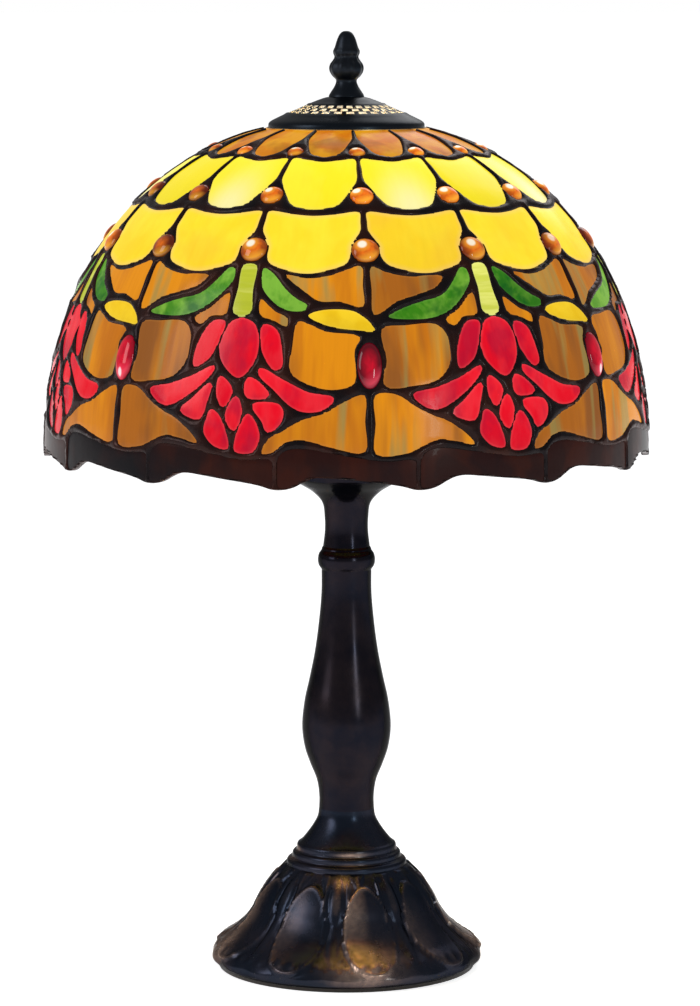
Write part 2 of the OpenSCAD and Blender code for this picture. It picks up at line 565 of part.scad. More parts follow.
module screw_shell() color("silver") difference() {
    translate([0, 0, thread_z]) cylinder(r = bulb_cap_r + 0.8, h = shell_top - thread_z - 3);
    translate([0, 0, thread_z + 0.8]) cylinder(r = bulb_cap_r + clearance, h = 40);
}

module centre_contact() color("gold") translate([0, 0, thread_z + 0.8]) cylinder(r = 4, h = contact_z - thread_z - 0.8);

// Turned spindle and flat key of the on and off switch, which faces the front.
module switch_key() color([0.08, 0.06, 0.05]) translate([0, 0, shell_z + 8]) rotate([90, 0, 0]) {
    cylinder(r = 2.2, h = 26, $fn = 32);
    translate([0, 0, 19]) cylinder(r = 4.2, h = 4, $fn = 32);
    difference() {
        translate([-8, -2, 23]) cube([16, 4, 10]);
        for (side = [-1, 1]) translate([side * 11, 0, 23]) rotate([0, side * 30, 0]) translate([-3, -5, -8]) cube([6, 10, 12]);
    }
}

module bulb_contact() color("silver") translate([0, 0, contact_z]) cylinder(r = 4.6, h = 2);

module bulb_cap() color("silver") difference() {
    union() {
        translate([0, 0, contact_z + 2]) cylinder(r1 = 6, r2 = bulb_cap_r - 0.4, h = 4);
        translate([0, 0, contact_z + 6]) cylinder(r = bulb_cap_r, h = 20);
    }
    translate([0, 0, contact_z + 10]) cylinder(r = bulb_cap_r - 0.8, h = 40);
}

// Pear-shaped envelope whose neck is cemented into the screw cap.
module bulb_glass() color("white") {
    neck_z = contact_z + 14;
    crown_z = contact_z + bulb_h - bulb_r;
    wall = 0.8;
    outer = concat([[12, neck_z]],
        smooth([[12, contact_z + 26], [13.2, contact_z + 32], [18.2, contact_z + 44], [23.6, contact_z + 54],
            [bulb_r - 0.7, crown_z - 8], [bulb_r, crown_z]], 5),
        [for (t = [10:10:80]) [bulb_r * cos(t), crown_z + bulb_r * sin(t)]]);
    rotate_extrude() polygon(concat(outer, [[0, crown_z + bulb_r], [0, crown_z + bulb_r - wall]],
        [for (p = reversed(outer)) [p[0] - wall * (p[1] > crown_z ? p[0] / bulb_r : 1),
            p[1] - wall * max(0, (p[1] - crown_z) / bulb_r)]]));
}

// ---- Nodes --------------------------------------------------------------------------------------

felt_pad();
base_plate();
base_shell();
ballast_weight();
cord_bushing();
lamp_rod();
foot_washer();
foot_nut();
lower_column();
collar_ring();
upper_column();
cup_nut();
harp_saddle();
harp();
harp_stud();
left_sleeve();
right_sleeve();
holder_cap();
holder_shell();
holder_liner();
holder_body();
screw_shell();
centre_contact();
switch_key();
bulb_glass();
bulb_cap();
bulb_contact();
top_ring();
spider();
lead_came();
reinforcing_wire();
crown_panes();
upper_yellow_panes();
lower_yellow_panes();
crown_jewels();
upper_jewels();
lower_jewels();
amber_upper_panes();
amber_middle_panes();
amber_lower_panes();
amber_slivers();
stems();
long_leaves();
short_leaves();
leaf_tips();
tulip_petals();
oval_cabochons();
rim_panes();
heat_cap();
finial();
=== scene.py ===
import math
import random

import bmesh
import bpy
import numpy as np
from mathutils import Matrix, Vector, noise


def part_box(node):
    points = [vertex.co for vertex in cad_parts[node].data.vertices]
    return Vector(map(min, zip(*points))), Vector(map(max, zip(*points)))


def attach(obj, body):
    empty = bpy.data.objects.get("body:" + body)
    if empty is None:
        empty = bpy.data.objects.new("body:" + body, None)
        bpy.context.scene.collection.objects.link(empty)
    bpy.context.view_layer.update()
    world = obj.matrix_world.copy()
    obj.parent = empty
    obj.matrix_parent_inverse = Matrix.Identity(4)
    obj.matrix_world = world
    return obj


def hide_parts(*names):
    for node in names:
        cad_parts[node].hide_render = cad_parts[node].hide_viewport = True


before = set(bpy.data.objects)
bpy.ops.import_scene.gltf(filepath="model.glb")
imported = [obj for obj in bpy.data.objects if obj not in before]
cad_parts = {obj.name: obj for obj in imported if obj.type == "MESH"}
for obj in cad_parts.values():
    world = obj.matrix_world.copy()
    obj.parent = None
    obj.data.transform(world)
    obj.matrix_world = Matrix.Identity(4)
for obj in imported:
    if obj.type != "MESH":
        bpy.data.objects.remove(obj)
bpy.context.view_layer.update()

# ---- Camera, lights and floor --------------------------------------------------------------------
# The lamp stands alone on a pale floor in a white room, seen from a little above its shade.
# Two soft boxes in front and one behind light its metal, and its own bulb lights the glass.

scene = bpy.context.scene
scene.view_settings.view_transform = "Standard"
scene.view_settings.look = "None"

camera = bpy.data.objects.new("camera", bpy.data.cameras.new("camera"))
camera.data.lens = 148
camera.data.sensor_width = 36
camera.data.clip_end = 300
camera.location = (0, -2.1, 0.5)
looked_at = Vector((0.0018, 0, 0.24))
camera.rotation_euler = (looked_at - camera.location).to_track_quat("-Z", "Y").to_euler()
scene.collection.objects.link(camera)
scene.camera = camera


def soft_box(name, place, aim, size, power, colour=(1, 1, 1)):
    lamp = bpy.data.lights.new(name, "AREA")
    lamp.shape = "RECTANGLE"
    lamp.size, lamp.size_y = size
    lamp.energy = power
    lamp.color = colour
    box = bpy.data.objects.new(name, lamp)
    box.location = place
    box.rotation_euler = (Vector(aim) - Vector(place)).to_track_quat("-Z", "Y").to_euler()
    scene.collection.objects.link(box)


soft_box("left_soft_box", (-1.9, -0.9, 1.3), (0, 0, 0.2), (0.9, 1.3), 18)
soft_box("right_soft_box", (1.05, -1.75, 0.62), (0, 0, 0.2), (0.12, 0.5), 5, (0.85, 1, 0.98))
soft_box("rear_soft_box", (0.5, 1.5, 1.5), (0, 0, 0.2), (1.2, 1.2), 8)

world = bpy.data.worlds.new("white_room")
world.use_nodes = True
scene.world = world
sky = world.node_tree
seen = sky.nodes["Background"]
seen.inputs["Color"].default_value = (1, 1, 1, 1)
seen.inputs["Strength"].default_value = 1.0
cast = sky.nodes.new("ShaderNodeBackground")
cast.inputs["Color"].default_value = (0.95, 0.97, 1, 1)
cast.inputs["Strength"].default_value = 0.36
ray = sky.nodes.new("ShaderNodeLightPath")
choose = sky.nodes.new("ShaderNodeMixShader")
sky.links.new(ray.outputs["Is Camera Ray"], choose.inputs[0])
sky.links.new(cast.outputs[0], choose.inputs[1])
sky.links.new(seen.outputs[0], choose.inputs[2])
sky.links.new(choose.outputs[0], sky.nodes["World Output"].inputs["Surface"])


# Adds a node, sets its own settings, and fills or links the inputs named in values.
def add_node(tree, kind, values=(), **settings):
    made = tree.nodes.new(kind)
    for key, value in settings.items():
        setattr(made, key, value)
    for key, value in dict(values).items():
        if isinstance(value, bpy.types.NodeSocket):
            tree.links.new(value, made.inputs[key])
        else:
            made.inputs[key].default_value = value
    return made


def new_material(name, **inputs):
    material = bpy.data.materials.new(name)
    material.use_nodes = True
    tree = material.node_tree
    shader = tree.nodes["Principled BSDF"]
    for key, value in inputs.items():
        shader.inputs[key.replace("_", " ")].default_value = value
    return material, tree, shader


# A colour of paint as the eye names it, 0 to 255, as the renderer counts it.
def tint(red, green, blue):
    share = [c / 255 for c in (red, green, blue)]
    return tuple(c / 12.92 if c < 0.04 else ((c + 0.055) / 1.055) ** 2.4 for c in share) + (1,)


floor_finish, floor_tree, floor_shader = new_material("floor_paint", Roughness=0.7)
floor_grain = add_node(floor_tree, "ShaderNodeTexNoise", {"Scale": 60.0, "Detail": 4.0})
floor_tone = add_node(floor_tree, "ShaderNodeMapRange",
                      {"Value": floor_grain.outputs[0], "To Min": 0.86, "To Max": 0.9})
floor_tree.links.new(floor_tone.outputs[0], floor_shader.inputs["Base Color"])
floor_shader.inputs["Emission Color"].default_value = (1, 1, 1, 1)
floor_shader.inputs["Emission Strength"].default_value = 0.76
bm = bmesh.new()
bmesh.ops.create_grid(bm, x_segments=1, y_segments=1, size=90)
floor_mesh = bpy.data.meshes.new("floor")
bm.to_mesh(floor_mesh)
bm.free()
floor_mesh.materials.append(floor_finish)
floor = bpy.data.objects.new("floor", floor_mesh)
scene.collection.objects.link(floor)

# ---- Foot ----------------------------------------------------------------------------------------
# A thin casting, open underneath, with overlapping rounded petals and long leaves in low relief.
# Dark bronze, rubbed to copper where hands and cloths touch it, with painted highlights at the front.

MM = 0.001


# A smooth line through the points, with this many steps from each to the next.
def line_through(points, steps=4, closed=False, stretch=(1, 1)):
    p = np.array(points, float) * stretch
    n = len(p)
    made = []
    for i in range(n if closed else n - 1):
        around = [p[(i + k) % n] if closed else p[min(max(i + k, 0), n - 1)] for k in (-1, 0, 1, 2)]
        if not closed and i == 0:
            around[0] = 2 * p[0] - p[1]
        if not closed and i == n - 2:
            around[3] = 2 * p[n - 1] - p[n - 2]
        t = [0]
        for a, b in zip(around, around[1:]):
            t.append(t[-1] + max(np.linalg.norm(b - a), 1e-9) ** 0.5)
        for j in range(steps):
            s = t[1] + (t[2] - t[1]) * j / steps
            row = [(t[k + 1] - s) / (t[k + 1] - t[k]) * around[k]
                   + (s - t[k]) / (t[k + 1] - t[k]) * around[k + 1]
                   for k in range(3)]
            two = [(t[k + 2] - s) / (t[k + 2] - t[k]) * row[k]
                   + (s - t[k]) / (t[k + 2] - t[k]) * row[k + 1]
                   for k in range(2)]
            made.append((t[2] - s) / (t[2] - t[1]) * two[0] + (s - t[1]) / (t[2] - t[1]) * two[1])
    if not closed:
        made.append(p[-1])
    return [tuple(q) for q in np.array(made) / stretch]


# Turns an outline, [radius, height] in millimetres, about the lamp's axis.
def turned(outline, steps=96, closed=True):
    bm = bmesh.new()
    line = [bm.verts.new((r * MM, 0, z * MM)) for r, z in outline]
    pairs = list(zip(line, line[1:]))
    if closed:
        pairs.append((line[-1], line[0]))
    edges = [bm.edges.new(pair) for pair in pairs]
    bmesh.ops.spin(bm, geom=line + edges, cent=(0, 0, 0), axis=(0, 0, 1), angle=math.tau,
                   steps=steps, use_merge=True)
    bmesh.ops.remove_doubles(bm, verts=bm.verts, dist=1e-6)
    bmesh.ops.recalc_face_normals(bm, faces=bm.faces)
    return bm


# Makes a finished piece of a mesh: its edges, material, body and the CAD nodes it stands for.
def add_piece(name, bm, material, body, stands_for=(), crease=40):
    for face in bm.faces:
        face.smooth = True
    for edge in bm.edges:
        edge.smooth = edge.calc_face_angle(0) < math.radians(crease)
    mesh = bpy.data.meshes.new(name)
    bm.to_mesh(mesh)
    bm.free()
    mesh.materials.append(material)
    piece = bpy.data.objects.new(name, mesh)
    scene.collection.objects.link(piece)
    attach(piece, body)
    if stands_for:
        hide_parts(*stands_for)
    return piece


def new_group(name, inputs, outputs):
    tree = bpy.data.node_groups.new(name, "ShaderNodeTree")
    kinds = {"c": "NodeSocketColor", "v": "NodeSocketFloat"}
    for label, kind, value in inputs:
        socket = tree.interface.new_socket(label, in_out="INPUT", socket_type=kinds[kind])
        socket.default_value = value
    for label, kind in outputs:
        tree.interface.new_socket(label, in_out="OUTPUT", socket_type=kinds[kind])
    return tree, tree.nodes.new("NodeGroupInput").outputs, tree.nodes.new("NodeGroupOutput").inputs


def math_node(tree, operation, a, b=0.0, c=0.0, clamp=False):
    made = add_node(tree, "ShaderNodeMath", {0: a, 1: b, 2: c}, operation=operation, use_clamp=clamp)
    return made.outputs[0]


def times(tree, a, b, clamp=False):
    return math_node(tree, "MULTIPLY", a, b, clamp=clamp)


def less(tree, a, b, clamp=False):
    return math_node(tree, "SUBTRACT", a, b, clamp=clamp)


def mixed(tree, share, a, b, blend="MIX"):
    made = add_node(tree, "ShaderNodeMix", {0: share, 6: a, 7: b}, data_type="RGBA", blend_type=blend)
    return made.outputs[2]


def ranged(tree, value, low, high, to_low=0.0, to_high=1.0):
    made = add_node(tree, "ShaderNodeMapRange", {"Value": value, "From Min": low, "From Max": high,
                                                 "To Min": to_low, "To Max": to_high})
    return made.outputs[0]


# Cloudy noise in the piece's own space, so that it stays fixed to the surface.
def clouds(tree, scale, detail, **more):
    where = add_node(tree, "ShaderNodeTexCoord").outputs["Object"]
    values = {"Vector": where, "Scale": scale, "Detail": detail, **more}
    return add_node(tree, "ShaderNodeTexNoise", values).outputs[0]


def roughen(tree, shader, height, strength, distance=0.0008):
    values = {"Strength": strength, "Distance": distance, "Height": height}
    tree.links.new(add_node(tree, "ShaderNodeBump", values).outputs[0], shader.inputs["Normal"])


# Dark cast bronze: mottled patina, fine casting grain, and metal made bright by the rub mask, as wear and
# painted highlight.
patina, given, gives = new_group(
    "bronze_patina",
    [("Dark", "c", (0.02, 0.014, 0.01, 1)), ("Mottle", "c", (0.05, 0.03, 0.02, 1)),
     ("Rubbed Sheen", "c", (0.5, 0.24, 0.1, 1)), ("Rub Sheen", "v", 0.0), ("Spread", "v", 1.0)],
    [("Color", "c"), ("Roughness", "v"), ("Height", "v")])
cloud = clouds(patina, 34.0, 5.0, Roughness=0.6)
speck = clouds(patina, 420.0, 3.0)
grain = clouds(patina, 1500.0, 2.0)
ground = mixed(patina, ranged(patina, cloud, 0.4, 0.66), given["Dark"], given["Mottle"])
worn_and_sheen = times(patina, given["Rub Sheen"], ranged(patina, speck, 0.3, 0.6, 0.6, 1.0))
worn_and_sheen = times(patina, worn_and_sheen, ranged(patina, cloud, 0.36, 0.62, 0.15, 1.0), clamp=True)
worn_and_sheen = times(patina, worn_and_sheen, given["Spread"], clamp=True)
patina.links.new(mixed(patina, worn_and_sheen, ground, given["Rubbed Sheen"]), gives["Color"])
rough = ranged(patina, cloud, 0.3, 0.7, 0.26, 0.44)
patina.links.new(less(patina, rough, times(patina, worn_and_sheen, 0.08)), gives["Roughness"])
fine = times(patina, grain, 0.35)
patina.links.new(math_node(patina, "ADD", cloud, fine), gives["Height"])


# A bronze finish. The rub is a number, or a mask made by the caller in the material's own tree.
def bronze(name, dark, mottle, rubbed_sheen, rub=0.1, spread=1.0, rub_sheen_layer=None, metallic=0.85, bump=0.12,
           polish=0.0, edge_shine=0.3):
    material, tree, shader = new_material(name, Metallic=metallic,
                                          Specular_Tint=(edge_shine, edge_shine, edge_shine, 1))
    skin = add_node(tree, "ShaderNodeGroup", node_tree=patina)
    for key, value in (("Dark", dark), ("Mottle", mottle), ("Rubbed Sheen", rubbed_sheen)):
        skin.inputs[key].default_value = (*value, 1)
    skin.inputs["Rub Sheen"].default_value = rub
    skin.inputs["Spread"].default_value = spread
    if rub_sheen_layer:
        layer = add_node(tree, "ShaderNodeAttribute", attribute_name=rub_sheen_layer)
        tree.links.new(layer.outputs["Fac"], skin.inputs["Rub Sheen"])
    tree.links.new(skin.outputs["Color"], shader.inputs["Base Color"])
    tree.links.new(less(tree, skin.outputs["Roughness"], polish), shader.inputs["Roughness"])
    roughen(tree, shader, skin.outputs["Height"], bump)
    return material


# The foot's copper colour serves both its rubbed metal and its painted highlights.
foot_bronze = bronze("foot_bronze", (0.013, 0.018, 0.03), (0.025, 0.025, 0.037), (0.56, 0.38, 0.29),
                     rub_sheen_layer="rub", spread=1.0, polish=0.08)

skirt = line_through([[66.5, 2], [69.1, 4], [69.5, 7], [66.5, 11.5], [59, 17], [52.5, 23], [47.5, 30],
                      [44, 37], [38.5, 45], [32.5, 51.5]], 9)
waist = line_through([[31.3, 52.4], [30.9, 53], [30.9, 54.6], [30.1, 55.7], [28.8, 56.2], [27.9, 56.8],
                      [27.9, 58.6], [27.3, 59.6], [26.2, 60], [25.7, 60.6], [25.6, 62.4], [25.2, 63.6],
                      [24, 64.4], [22.4, 66], [18, 71.8], [14.9, 77.5], [14.2, 82]], 3)
hollow = [(5.2, 82), (5.2, 72), (14, 70), (18.5, 64), (23.5, 56), (27, 51.6), (33, 46), (39.5, 38),
          (43.5, 30), (49, 23), (54, 17.5), (60.6, 11.5), (60.6, 7), (62, 7)]

petal_pitch, petal_turn = 40, 13      # nine petals, in degrees
petal_half_w, petal_half_h, petal_z = 15.5, 20.5, 27.5
tip_pitch, tip_turn = 24, -3          # the small leaves under the rings
relief_low, relief_high, relief_share = 2.5, 53, 0.95
rub_sheen_turn, rub_sheen_pitch = 6, 90           # where the rubbed metal and painted highlights are brightest


# How far the cast pattern stands out, in millimetres, at a bearing and a height.
def foot_pattern(bearing, z):
    around = (bearing - petal_turn + petal_pitch / 2) % petal_pitch - petal_pitch / 2
    left_side = (around + petal_half_w) / (2 * petal_half_w)
    far = np.sqrt((around / petal_half_w) ** 2 + ((z - petal_z) / petal_half_h) ** 2)
    petal = np.clip((1 - far) * 15, 0, 1) * (1.5 - 0.9 * left_side)
    petal += 0.45 * np.exp(-((far - 0.93) / 0.04) ** 2) * (far < 1)
    between = (bearing - petal_turn) % petal_pitch - petal_pitch / 2
    spoon = 1.25 * np.sqrt(np.clip(1 - (between / 5.2) ** 2 - ((z - 41) / 12) ** 2, 0, 1))
    tongue = 1.0 * np.sqrt(np.clip(1 - (between / 3.4) ** 2 - ((z - 22) / 9) ** 2, 0, 1))
    ribs = 1.25 * np.exp(-((np.abs(between) - 8.4 - (z - 40) * 0.05) / 0.95) ** 2)
    ribs *= np.clip((z - 26) / 5, 0, 1) * np.clip((51 - z) / 3, 0, 1)
    tip = (bearing - tip_turn) % tip_pitch - tip_pitch / 2
    leaf = np.clip((z - 43.5) / 9, 0, 1) * 7.5 - np.abs(tip)
    leaf = np.clip(leaf / 1.2, 0, 1) * (0.75 + 0.4 * np.exp(-(tip / 1.6) ** 2))
    leaf *= np.clip((relief_high - z) / 1.2, 0, 1)
    lobes = 0.4 * np.cos(np.radians(bearing * 18)) * np.exp(-((z - 5.5) / 2.6) ** 2)
    beads = 0.35 * np.cos(np.radians(bearing * 60)) * np.exp(-((z - 11.5) / 1.4) ** 2)
    return np.maximum.reduce([petal, spoon, tongue, ribs, leaf]) + lobes + beads


bm = turned([(62, 2)] + skirt + waist + hollow, 300)
rub_sheen_layer = bm.verts.layers.float.new("rub")
spots = np.array([v.co for v in bm.verts]) / MM
outer = np.array([v.normal.z > -0.7 and v.normal.dot((v.co.x, v.co.y, 0)) > 0 for v in bm.verts])
outer &= (spots[:, 2] > relief_low) & (spots[:, 2] < relief_high)
bearings = np.degrees(np.arctan2(spots[:, 0], -spots[:, 1]))
raised = np.where(outer, foot_pattern(bearings, spots[:, 2]), 0)
# Rub mask: wear on raised parts, plus painted highlights on rings, lower front, crests, leaf tip.
for v, up, place in zip(bm.verts, raised, spots):
    rings = math.exp(-((place[2] - 61.5) / 1.2) ** 2) + 0.6 * math.exp(-((place[2] - 56.5) / 0.8) ** 2)
    bearing = math.remainder(math.degrees(math.atan2(place[0], -place[1])) - rub_sheen_turn, rub_sheen_pitch)
    front = math.exp(-(bearing / 20) ** 2)
    low = 0.75 * front ** 2 * math.exp(-((place[2] - 12) / 8) ** 2)
    crest = max(0, up - 1.0) * 1.5 * (0.15 + front)
    tip_sheen = 0.9 * math.exp(-((bearing + 9) / 6) ** 2 - ((place[2] - 49) / 2.4) ** 2)
    v[rub_sheen_layer] = min(1, crest + low + tip_sheen + 0.9 * rings * front ** 2)
    v.co += v.normal * float(up) * relief_share * MM

# The opening for the cord, through the back of the skirt, with its wall closed between the two skins.
cord_z, cord_hole_r = 13, 5.6
cut_away = []
for face in bm.faces:
    middle = face.calc_center_median()
    if middle.y > 0.04 and math.hypot(middle.x, middle.z - cord_z * MM) < cord_hole_r * MM:
        cut_away.append(face)
bmesh.ops.delete(bm, geom=cut_away, context="FACES")
bmesh.ops.bridge_loops(bm, edges=[e for e in bm.edges if e.is_boundary])
bmesh.ops.recalc_face_normals(bm, faces=bm.faces)
add_piece("cast_foot", bm, foot_bronze, "stand", ["base_shell"], 50)


# Lays down a mesh that was turned about the lamp's axis, to point to the back (1) or front (-1).
def lie_along(bm, way, z):
    placing = Matrix.Translation((0, 0, z * MM)) @ Matrix.Rotation(-way * math.pi / 2, 4, "X")
    bmesh.ops.transform(bm, matrix=placing, verts=bm.verts)


# The boss that the cord's bushing is pressed into.
bm = turned([(5, 47.5), (7.5, 47.5), (7.5, 66.9), (7.1, 67.5), (5, 67.5)], 48)
lie_along(bm, 1, cord_z)
bmesh.ops.bisect_plane(bm, geom=bm.verts[:] + bm.edges[:] + bm.faces[:], plane_co=(0, 0.0535, 0),
                       plane_no=(0, 1, 0), clear_inner=True)
bmesh.ops.holes_fill(bm, edges=[e for e in bm.edges if e.is_boundary], sides=0)
bmesh.ops.recalc_face_normals(bm, faces=bm.faces)
foot_dark = bronze("foot_dark_bronze", (0.008, 0.009, 0.012), (0.02, 0.015, 0.014), (0.3, 0.17, 0.08))
add_piece("cord_boss", bm, foot_dark, "stand")

# ---- Column --------------------------------------------------------------------------------------
# Three hollow castings, a baluster, a collar and a flared neck, drawn together by the rod inside.
# They have the same dark bronze finish, smoother than the foot, with a faint brown bloom.

column_bronze = bronze("column_bronze", (0.006, 0.007, 0.013), (0.014, 0.011, 0.015),
                       (0.08, 0.05, 0.045), rub=0.3, spread=0.3, bump=0.03, polish=0.14)
bore = 5.2


def column_part(name, outline, top_and_under=()):
    low, high = outline[0][1], outline[-1][1]
    inside = list(top_and_under) or [(bore, high)]
    bm = turned(outline + inside + [(bore, low)], 128)
    add_piece(name, bm, column_bronze, "stand", [name], 35)


baluster = [[14.2, 82], [14.1, 88], [15.3, 96.5], [18.8, 105.4], [21.5, 113.5], [22.9, 124.5],
            [21.6, 138], [19.2, 149], [16.3, 163.5], [14.2, 179], [12.9, 194], [12.8, 206]]
column_part("lower_column", line_through(baluster, 6))
collar = [[12.8, 206], [13.2, 206.6], [14.3, 208.4], [14.7, 211.4], [14.1, 214.2], [12.9, 216],
          [12.6, 217], [12, 218]]
column_part("collar_ring", line_through(collar, 5))
flare = [[12, 218], [11.1, 226], [11.2, 233], [12.4, 240.5], [17.6, 246.3], [24.5, 250.5], [29.4, 254],
         [30, 256]]
cup = line_through([[28.6, 256], [27.2, 253.6], [20, 250.2], [14, 247.5]], 4) + [(bore, 247.5)]
column_part("upper_column", line_through(flare, 6), cup)

# ---- Shade: the drawing of the glass ---------------------------------------------------------------
# The dome is made of cut pieces of art glass, edged in copper foil and soldered along every seam.
# Seven tulips stand round it, each outlined here as [bearing from its stem, run down from the crown].

shade_r, dome_z, dome_rise, dome_power, crown_r = 152.4, 262.0, 172.0, 2.2, 42.0
tulips, tulip_turn, glass_t = 7, 30.0, 3.0
cell = 360 / tulips
panel = cell / 2
crown_angle = math.acos((crown_r / shade_r) ** (dome_power / 2))
turn = crown_angle * (1 - np.linspace(0, 1, 241) ** 0.8)
dome_r = shade_r * np.cos(turn) ** (2 / dome_power)
dome_h = dome_z + dome_rise * np.sin(turn) ** (2 / dome_power)
dome_s = np.concatenate([[0], np.cumsum(np.hypot(np.diff(dome_r), np.diff(dome_h)))])
above = 8.0
dome_r = np.concatenate([[dome_r[0] - above * (dome_r[1] - dome_r[0]) / dome_s[1]], dome_r, [shade_r]])
dome_h = np.concatenate([[dome_h[0] - above * (dome_h[1] - dome_h[0]) / dome_s[1]], dome_h,
                         [dome_h[-1] - above]])
dome_s = np.concatenate([[-above], dome_s, [dome_s[-1] + above]])


def dome_radius(run):
    return np.interp(run, dome_s, dome_r)


# Points at these bearings and runs, this far out from the glass's middle, in metres.
def dome_points(bearing, run, out):
    r, h = np.interp(run, dome_s, dome_r), np.interp(run, dome_s, dome_h)
    dr = np.interp(run + 1.5, dome_s, dome_r) - np.interp(run - 1.5, dome_s, dome_r)
    dh = np.interp(run + 1.5, dome_s, dome_h) - np.interp(run - 1.5, dome_s, dome_h)
    size = np.hypot(dr, dh)
    r, h = r - dh / size * out, h + dr / size * out
    angle = np.radians(bearing)
    return np.stack([r * np.sin(angle), -r * np.cos(angle), h], axis=-1) * MM


crown_outline = [(-24.1, -3), (-18, -3), (-12.86, -3), (-7.7, -3), (-1.6, -3), (-1.5, 4), (-1.8, 12),
                 (-3.9, 19.5), (-6.5, 27.5), (-8.5, 30.6), (-12.86, 32.4), (-17.2, 30.6), (-19.2, 27.5),
                 (-21.8, 19.5), (-23.9, 12), (-24.2, 4)]
upper_outline = [(-24.6, 34.4), (-19, 35.2), (-12.86, 36.8), (-6.7, 35.2), (-1.1, 34.4), (-1.0, 43),
                 (-1.2, 52), (-3.3, 59.5), (-5.4, 66.5), (-7, 70), (-12.86, 72.4), (-18.7, 70),
                 (-20.3, 66.5), (-22.4, 59.5), (-24.5, 52), (-24.7, 43)]
lower_outline = [(-24.7, 74.4), (-19, 75.6), (-12.86, 76.8), (-6.7, 75.6), (-1.0, 74.4), (-0.9, 80),
                 (-1.0, 85.5), (-2.2, 90), (-3.5, 95), (-3.6, 100.5), (-4.4, 104), (-8, 107.4),
                 (-12.86, 109.6), (-17.7, 107.4), (-21.3, 104), (-22.1, 100.5), (-22.2, 95), (-23.5, 90),
                 (-24.7, 85.5), (-24.8, 80)]
stem_outline = [(-1.4, 105.8), (1.5, 105.8), (1.7, 118), (1.9, 130.4), (-1.5, 130.4), (-1.45, 118)]
long_leaf = [(-21.6, 131.6), (-18.2, 127.2), (-14.5, 124.3), (-9.9, 121), (-6.6, 113), (-4.6, 107.4),
             (-3.5, 107.6), (-3.1, 113), (-4.5, 118.5), (-8.7, 128.3), (-13.0, 132.3), (-17, 133)]
short_leaf = [(3.4, 107.5), (4.5, 108), (6.4, 111.6), (8.6, 117.6), (11.4, 123), (13.5, 125.9),
              (13.1, 128.2), (9.6, 128.4), (5.7, 122.6), (3.8, 116.7)]
leaf_tip = [(13.9, 131.0), (16.1, 128.7), (19.7, 127.9), (22.8, 129), (25.1, 132.5), (26.8, 138.2),
            (23.2, 138), (17.4, 135.6)]
petals = [
    [(0.6, 133.6), (3.2, 136.7), (4.2, 146.7), (3.5, 154.6), (1.2, 161.2), (-0.6, 159), (-2.5, 153.5),
     (-3.2, 147), (-2.6, 141), (-1.6, 135.6)],
    [(-4.5, 134.8), (-3.2, 135.5), (-3.6, 140), (-4.6, 148), (-5.6, 152.6), (-8.2, 156.6), (-8.4, 151.3),
     (-7.3, 141.7), (-5.8, 136)],
    [(5.2, 136.5), (7.7, 139), (8.9, 149), (9.1, 155.6), (8.1, 157.2), (5.8, 150), (5.1, 143)],
    [(-4.2, 157.2), (-5, 161.3), (-8.9, 170), (-12.8, 175.6), (-14.9, 175.3), (-17.5, 169.6),
     (-13.3, 167), (-8.3, 162.2)],
    [(5.2, 157.6), (5.3, 160.2), (8.1, 166.4), (11.8, 175), (14.6, 176.9), (17.4, 175.2), (18.9, 171),
     (14.6, 169), (10.1, 163.6)],
    [(-4.4, 165.4), (-5, 172.5), (-6.3, 181.6), (-10.1, 178.4), (-8.3, 174.0)],
    [(-2.5, 162.2), (-0.6, 165.8), (-0.2, 169), (-1.6, 175.4), (-2.6, 171.7), (-2.9, 166)],
    [(3.1, 162.4), (4.3, 163), (7.0, 169.8), (3.2, 170.6), (2.6, 166)],
    [(0.9, 171.4), (1.9, 177.5), (0.7, 186.4), (-0.8, 180)],
    [(4.4, 174.8), (8.8, 174.4), (9.7, 177.5), (9.2, 183), (7.2, 186.6), (6.2, 181.7)],
    [(-3.9, 178.2), (-2.6, 180), (-1.1, 187.5), (-0.5, 195.2), (-3.3, 193.4), (-4.9, 188),
     (-4.5, 181.9)],
    [(3.4, 179.6), (4.7, 183.2), (5.4, 190), (4.2, 196.4), (1.3, 196.2), (1.3, 191.7), (2.3, 184)]]
upper_grounds = [
    [(-24.6, 106.2), (-21.5, 109), (-16.5, 111.6), (-9.4, 111.7), (-10.9, 116.3), (-15.3, 120.4),
     (-19.9, 124), (-23.3, 129.6), (-24.6, 130.2), (-24.7, 118)],
    [(8.6, 110.6), (13, 112.2), (17.7, 110.9), (20.9, 108.2), (24.6, 105.8), (24.7, 116), (24.7, 126.2),
     (20, 123.8), (16.1, 123.8), (12.6, 118.4)]]
slivers = [
    [(-3.3, 120.6), (-3.0, 126.5), (-3.3, 130.9), (-6.3, 132.1), (-8.5, 136.4), (-10, 133.6),
     (-7.0, 128.6)],
    [(3.9, 123.4), (6.9, 129.0), (9.7, 132.8), (9.6, 136.4), (7.3, 133.8), (4.2, 130.9)]]
middle_grounds = [
    [(-23.1, 137.9), (-18.5, 136.2), (-12.4, 135.8), (-10.5, 140.4), (-10.1, 147.5), (-10.4, 155),
     (-12.8, 162.2), (-17.3, 165), (-23, 165), (-22.4, 153)],
    [(12.0, 134.4), (14, 135.4), (17.4, 139), (24.0, 141.7), (22.9, 148), (22.9, 163.4), (19.7, 166.6),
     (16.5, 165.9), (12.6, 162), (11, 158), (11.2, 146.7)]]
lower_grounds = [
    [(-24.7, 169.5), (-20.8, 169.4), (-17.5, 175), (-14.3, 179.4), (-11.3, 182.6), (-7.5, 190),
     (-6.6, 193.4), (-10, 191.6), (-13.3, 190.6), (-16.3, 193.6), (-19, 196.8), (-24.7, 197.2),
     (-24.7, 183)],
    [(24.7, 169.5), (24.7, 182), (24.7, 196), (18.5, 193.8), (13.8, 190.6), (10.6, 191.6), (8.0, 196.6),
     (6.2, 197.2), (7.4, 190.8), (10.1, 186.6), (13.3, 181.6), (17.6, 178), (21, 172.8)]]
rim_start = -16.9
